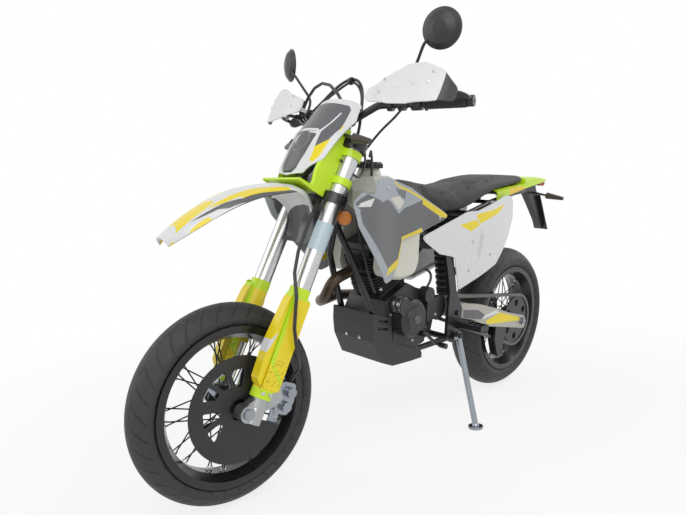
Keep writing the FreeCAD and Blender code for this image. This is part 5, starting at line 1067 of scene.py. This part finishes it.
@dataclass
class Chassis:
    """Small pieces of the frame, the engine and the bodywork, and the reflectors by the fork."""

    machine: Machine
    finishes: Finishes
    crank: tuple[float, float] = (792.0, 452.0)
    cap: tuple[float, float] = (914.0, 975.0)
    cap_radius: float = 44.0
    cap_ribs_round: int = 30

    def bolts(self) -> Any:
        """Bolts on the engine covers, skid plate, shrouds, panels and chain guide."""
        bike, places = self.machine.bike, []
        cx, cz = self.crank
        for x, z in ((706, 404), (862, 400), (870, 470), (700, 476), (742, 356), (838, 350), (906, 356),
                     (640, 440)):
            for side in (1, -1):
                places.append(bike.land("crankcase", (x, side * 300, z), (0, -side, 0)))
        for y, z in ((-30, 396), (30, 396)):
            places.append(bike.land("skid_plate", (1300, y, z), (-1, 0, 0)))
        for side in (1, -1):
            for x, z in ((1010, 905), (700, 800)):
                places.append(bike.land("tank_shrouds", (x, side * 400, z), (0, -side, 0)))
            for x, z in ((470, 700), (330, 640), (480, 590)):
                places.append(bike.land("side_panels", (x, side * 400, z), (0, -side, 0)))
            for x, z in ((905, 560), (905, 470), (800, 560)):
                places.append(bike.land("cylinder", (x, side * 300, z), (0, -side, 0)))
        for x, z in ((60, 300), (100, 318)):
            places.append(bike.land("chain_guide", (x, 300, z), (0, -1, 0)))
        for turn in range(6):
            x, z = 60 * math.cos(turn * math.pi / 3), 60 * math.sin(turn * math.pi / 3)
            places.append(bike.land("crankcase", (cx + x, -300, cz + z), (0, 1, 0)))
        return Bench.finished(Bench.spread("chassis_bolts", Bench.bolt(4.4, 3.6), places), Body.CHASSIS,
                              self.finishes.bolt)

    def cover_lines(self) -> Any:
        """Centre plug and three slanted ribs on the round engine cover."""
        bike = self.machine.bike
        cx, cz = self.crank
        plug = Bench.turned("cover_plug", [(0, 3.4), (4, 3.4), (5, 2.4), (9, 2.4), (12, 3.6), (15, 3.2),
                                           (17, -1), (0, -1)], 36)
        Bench.place(plug, bike.land("crankcase", (cx, 300, cz), (0, -1, 0)))
        pieces = [plug]
        for shift in (-15, -27, -39):
            Bench.clear()
            bpy.ops.mesh.primitive_cube_add(size=0.001)
            rib = Bench.taken("cover_rib")
            rib.data.transform(Matrix.Diagonal((46, 3.2, 3.6, 1)))
            Bench.only(rib)
            bpy.ops.object.mode_set(mode="EDIT")
            bpy.ops.mesh.select_all(action="SELECT")
            bpy.ops.mesh.bevel(offset=0.0011, segments=3)
            bpy.ops.object.mode_set(mode="OBJECT")
            rib.data.transform(Matrix.Rotation(math.radians(-52), 4, "Z"))
            seat = bike.land("crankcase", (cx + shift, 300, cz + shift * 0.4 - 6), (0, -1, 0))
            pieces.append(Bench.place(rib, seat))
        return Bench.finished(Bench.joined("cover_trim", pieces), Body.CHASSIS,
                              Metal("cover_trim_metal", (0.14, 0.14, 0.145), 0.36).make())

    def starter_bands(self) -> Any:
        """Polished bands round the starter motor."""
        band = Bench.turned("starter_band", [(26.8, 0), (28.2, 0), (28.6, 1), (28.6, 13), (28.2, 14),
                                             (26.8, 14)], 48)
        places = [self.machine.bike.seat_at((851, y, 506), (0, 1, 0)) for y in (92, 114)]
        return Bench.finished(Bench.spread("starter_bands", band, places), Body.CHASSIS, self.finishes.bolt)

    def reflector_places(self) -> list[Matrix]:
        """Where the amber reflectors stand, left and right of the fork."""
        return [self.machine.bike.seat_at((1140, side * 112, 816), (0.75, side * 0.66, 0)) for side in (1, -1)]

    def reflectors(self) -> Any:
        """Amber round reflectors beside the steering head."""
        dish = Bench.turned("reflector", [(0, 5), (10, 4.8), (18, 4.2), (21, 3), (22.5, 0), (22.5, -5),
                                          (0, -5)], 48)
        return Bench.finished(Bench.spread("amber_reflectors", dish, self.reflector_places()), Body.STEERING,
                              self.finishes.amber)

    def reflector_backs(self) -> Any:
        """Black cups and stalks that hold the amber reflectors."""
        cup = Bench.turned("reflector_cup", [(21, 2.4), (24.5, 3.4), (25, 1), (24, -6), (12, -8), (5, -10),
                                             (4, -34), (0, -34)], 48)
        return Bench.finished(Bench.spread("reflector_cups", cup, self.reflector_places()), Body.STEERING,
                              self.finishes.black)

    def cap_ribs(self) -> Any:
        """Finger ribs round the fuel cap."""
        cx, cz = self.cap
        rib = Bench.turned("cap_rib", [(0, 15), (1.6, 14.4), (2.4, 12), (2.4, 1), (0, 0.4)], 10)
        places = []
        for number in range(self.cap_ribs_round):
            angle = number * math.tau / self.cap_ribs_round
            across, aside = self.cap_radius * math.cos(angle), self.cap_radius * math.sin(angle)
            places.append(self.machine.bike.seat_at((cx + across, aside, cz - 11.4), (0, 0, 1)))
        return Bench.finished(Bench.spread("cap_ribs", rib, places), Body.CHASSIS, self.finishes.black)

    def hoses(self) -> Any:
        """Tank vent hose, fuel hose and cables down the frame."""
        bike = self.machine.bike
        runs = (((914, 0, 999), (914, 4, 1016), (930, 20, 1020), (946, 40, 990), (962, 56, 930), (978, 64, 860),
                 (984, 62, 780)),
                ((1044, 66, 840), (1034, 72, 760), (1010, 78, 690), (988, 84, 610), (960, 86, 560)),
                ((648, 60, 600), (664, 96, 600), (676, 104, 560), (700, 96, 536)))
        tubes = [Bench.tube("hose", [bike.at(*p) for p in run], radius)
                 for run, radius in zip(runs, (4.2, 5.0, 4.4))]
        return Bench.finished(Bench.joined("frame_hoses", tubes), Body.CHASSIS, self.finishes.black)

    def build(self) -> list[Any]:
        """Builds every piece."""
        return [self.bolts(), self.cover_lines(), self.starter_bands(), self.reflectors(),
                self.reflector_backs(),
                self.cap_ribs(), self.hoses()]


@dataclass
class Wheels:
    """Nipples of both wheels."""

    machine: Machine
    finishes: Finishes
    bed: float = 193.6
    spokes: int = 36
    sweep: float = 52.0

    def nipples(self, wheel: Axes, body: Body) -> Any:
        """One nipple where each spoke meets the rim."""
        step = 360.0 / (self.spokes / 4)
        model = Bench.turned("nipple", [(0, 10.5), (2.5, 10.5), (2.9, 9), (2.9, 4), (3.8, 2.4), (3.8, -0.4),
                                        (0, -0.4)], 8)
        places = []
        for side in (1, -1):
            for number in range(self.spokes // 4):
                base = number * step + (step / 4 if side < 0 else 0)
                for angle in (base + self.sweep, base + step / 2 - self.sweep):
                    turn = math.radians(angle)
                    x, z = math.cos(turn), math.sin(turn)
                    places.append(wheel.seat_at((self.bed * x, side * 9, self.bed * z), (-x, side * 0.06, -z)))
        return Bench.finished(Bench.spread(body.value + "_nipples", model, places), body, self.finishes.bolt)

    def build(self) -> list[Any]:
        """Builds every piece."""
        return [self.nipples(self.machine.front_wheel, Body.FRONT_WHEEL),
                self.nipples(self.machine.rear_wheel, Body.REAR_WHEEL)]


def main() -> None:
    """Builds the looks in order."""
    logging.basicConfig(level=logging.INFO, format="%(message)s")
    machine = Machine(frame["joints"])
    Studio(machine).build()
    Dressing(machine).build()
    LOG.info("frame dressed")
    seat = Seat(machine).build()
    LOG.info("seat %s", seat.name)
    finishes = Finishes()
    for group in (FrontEnd(machine, finishes), Chassis(machine, finishes), Wheels(machine, finishes)):
        for piece in group.build():
            LOG.info("built %s", piece.name)


if __name__ == "__main__":
    main()
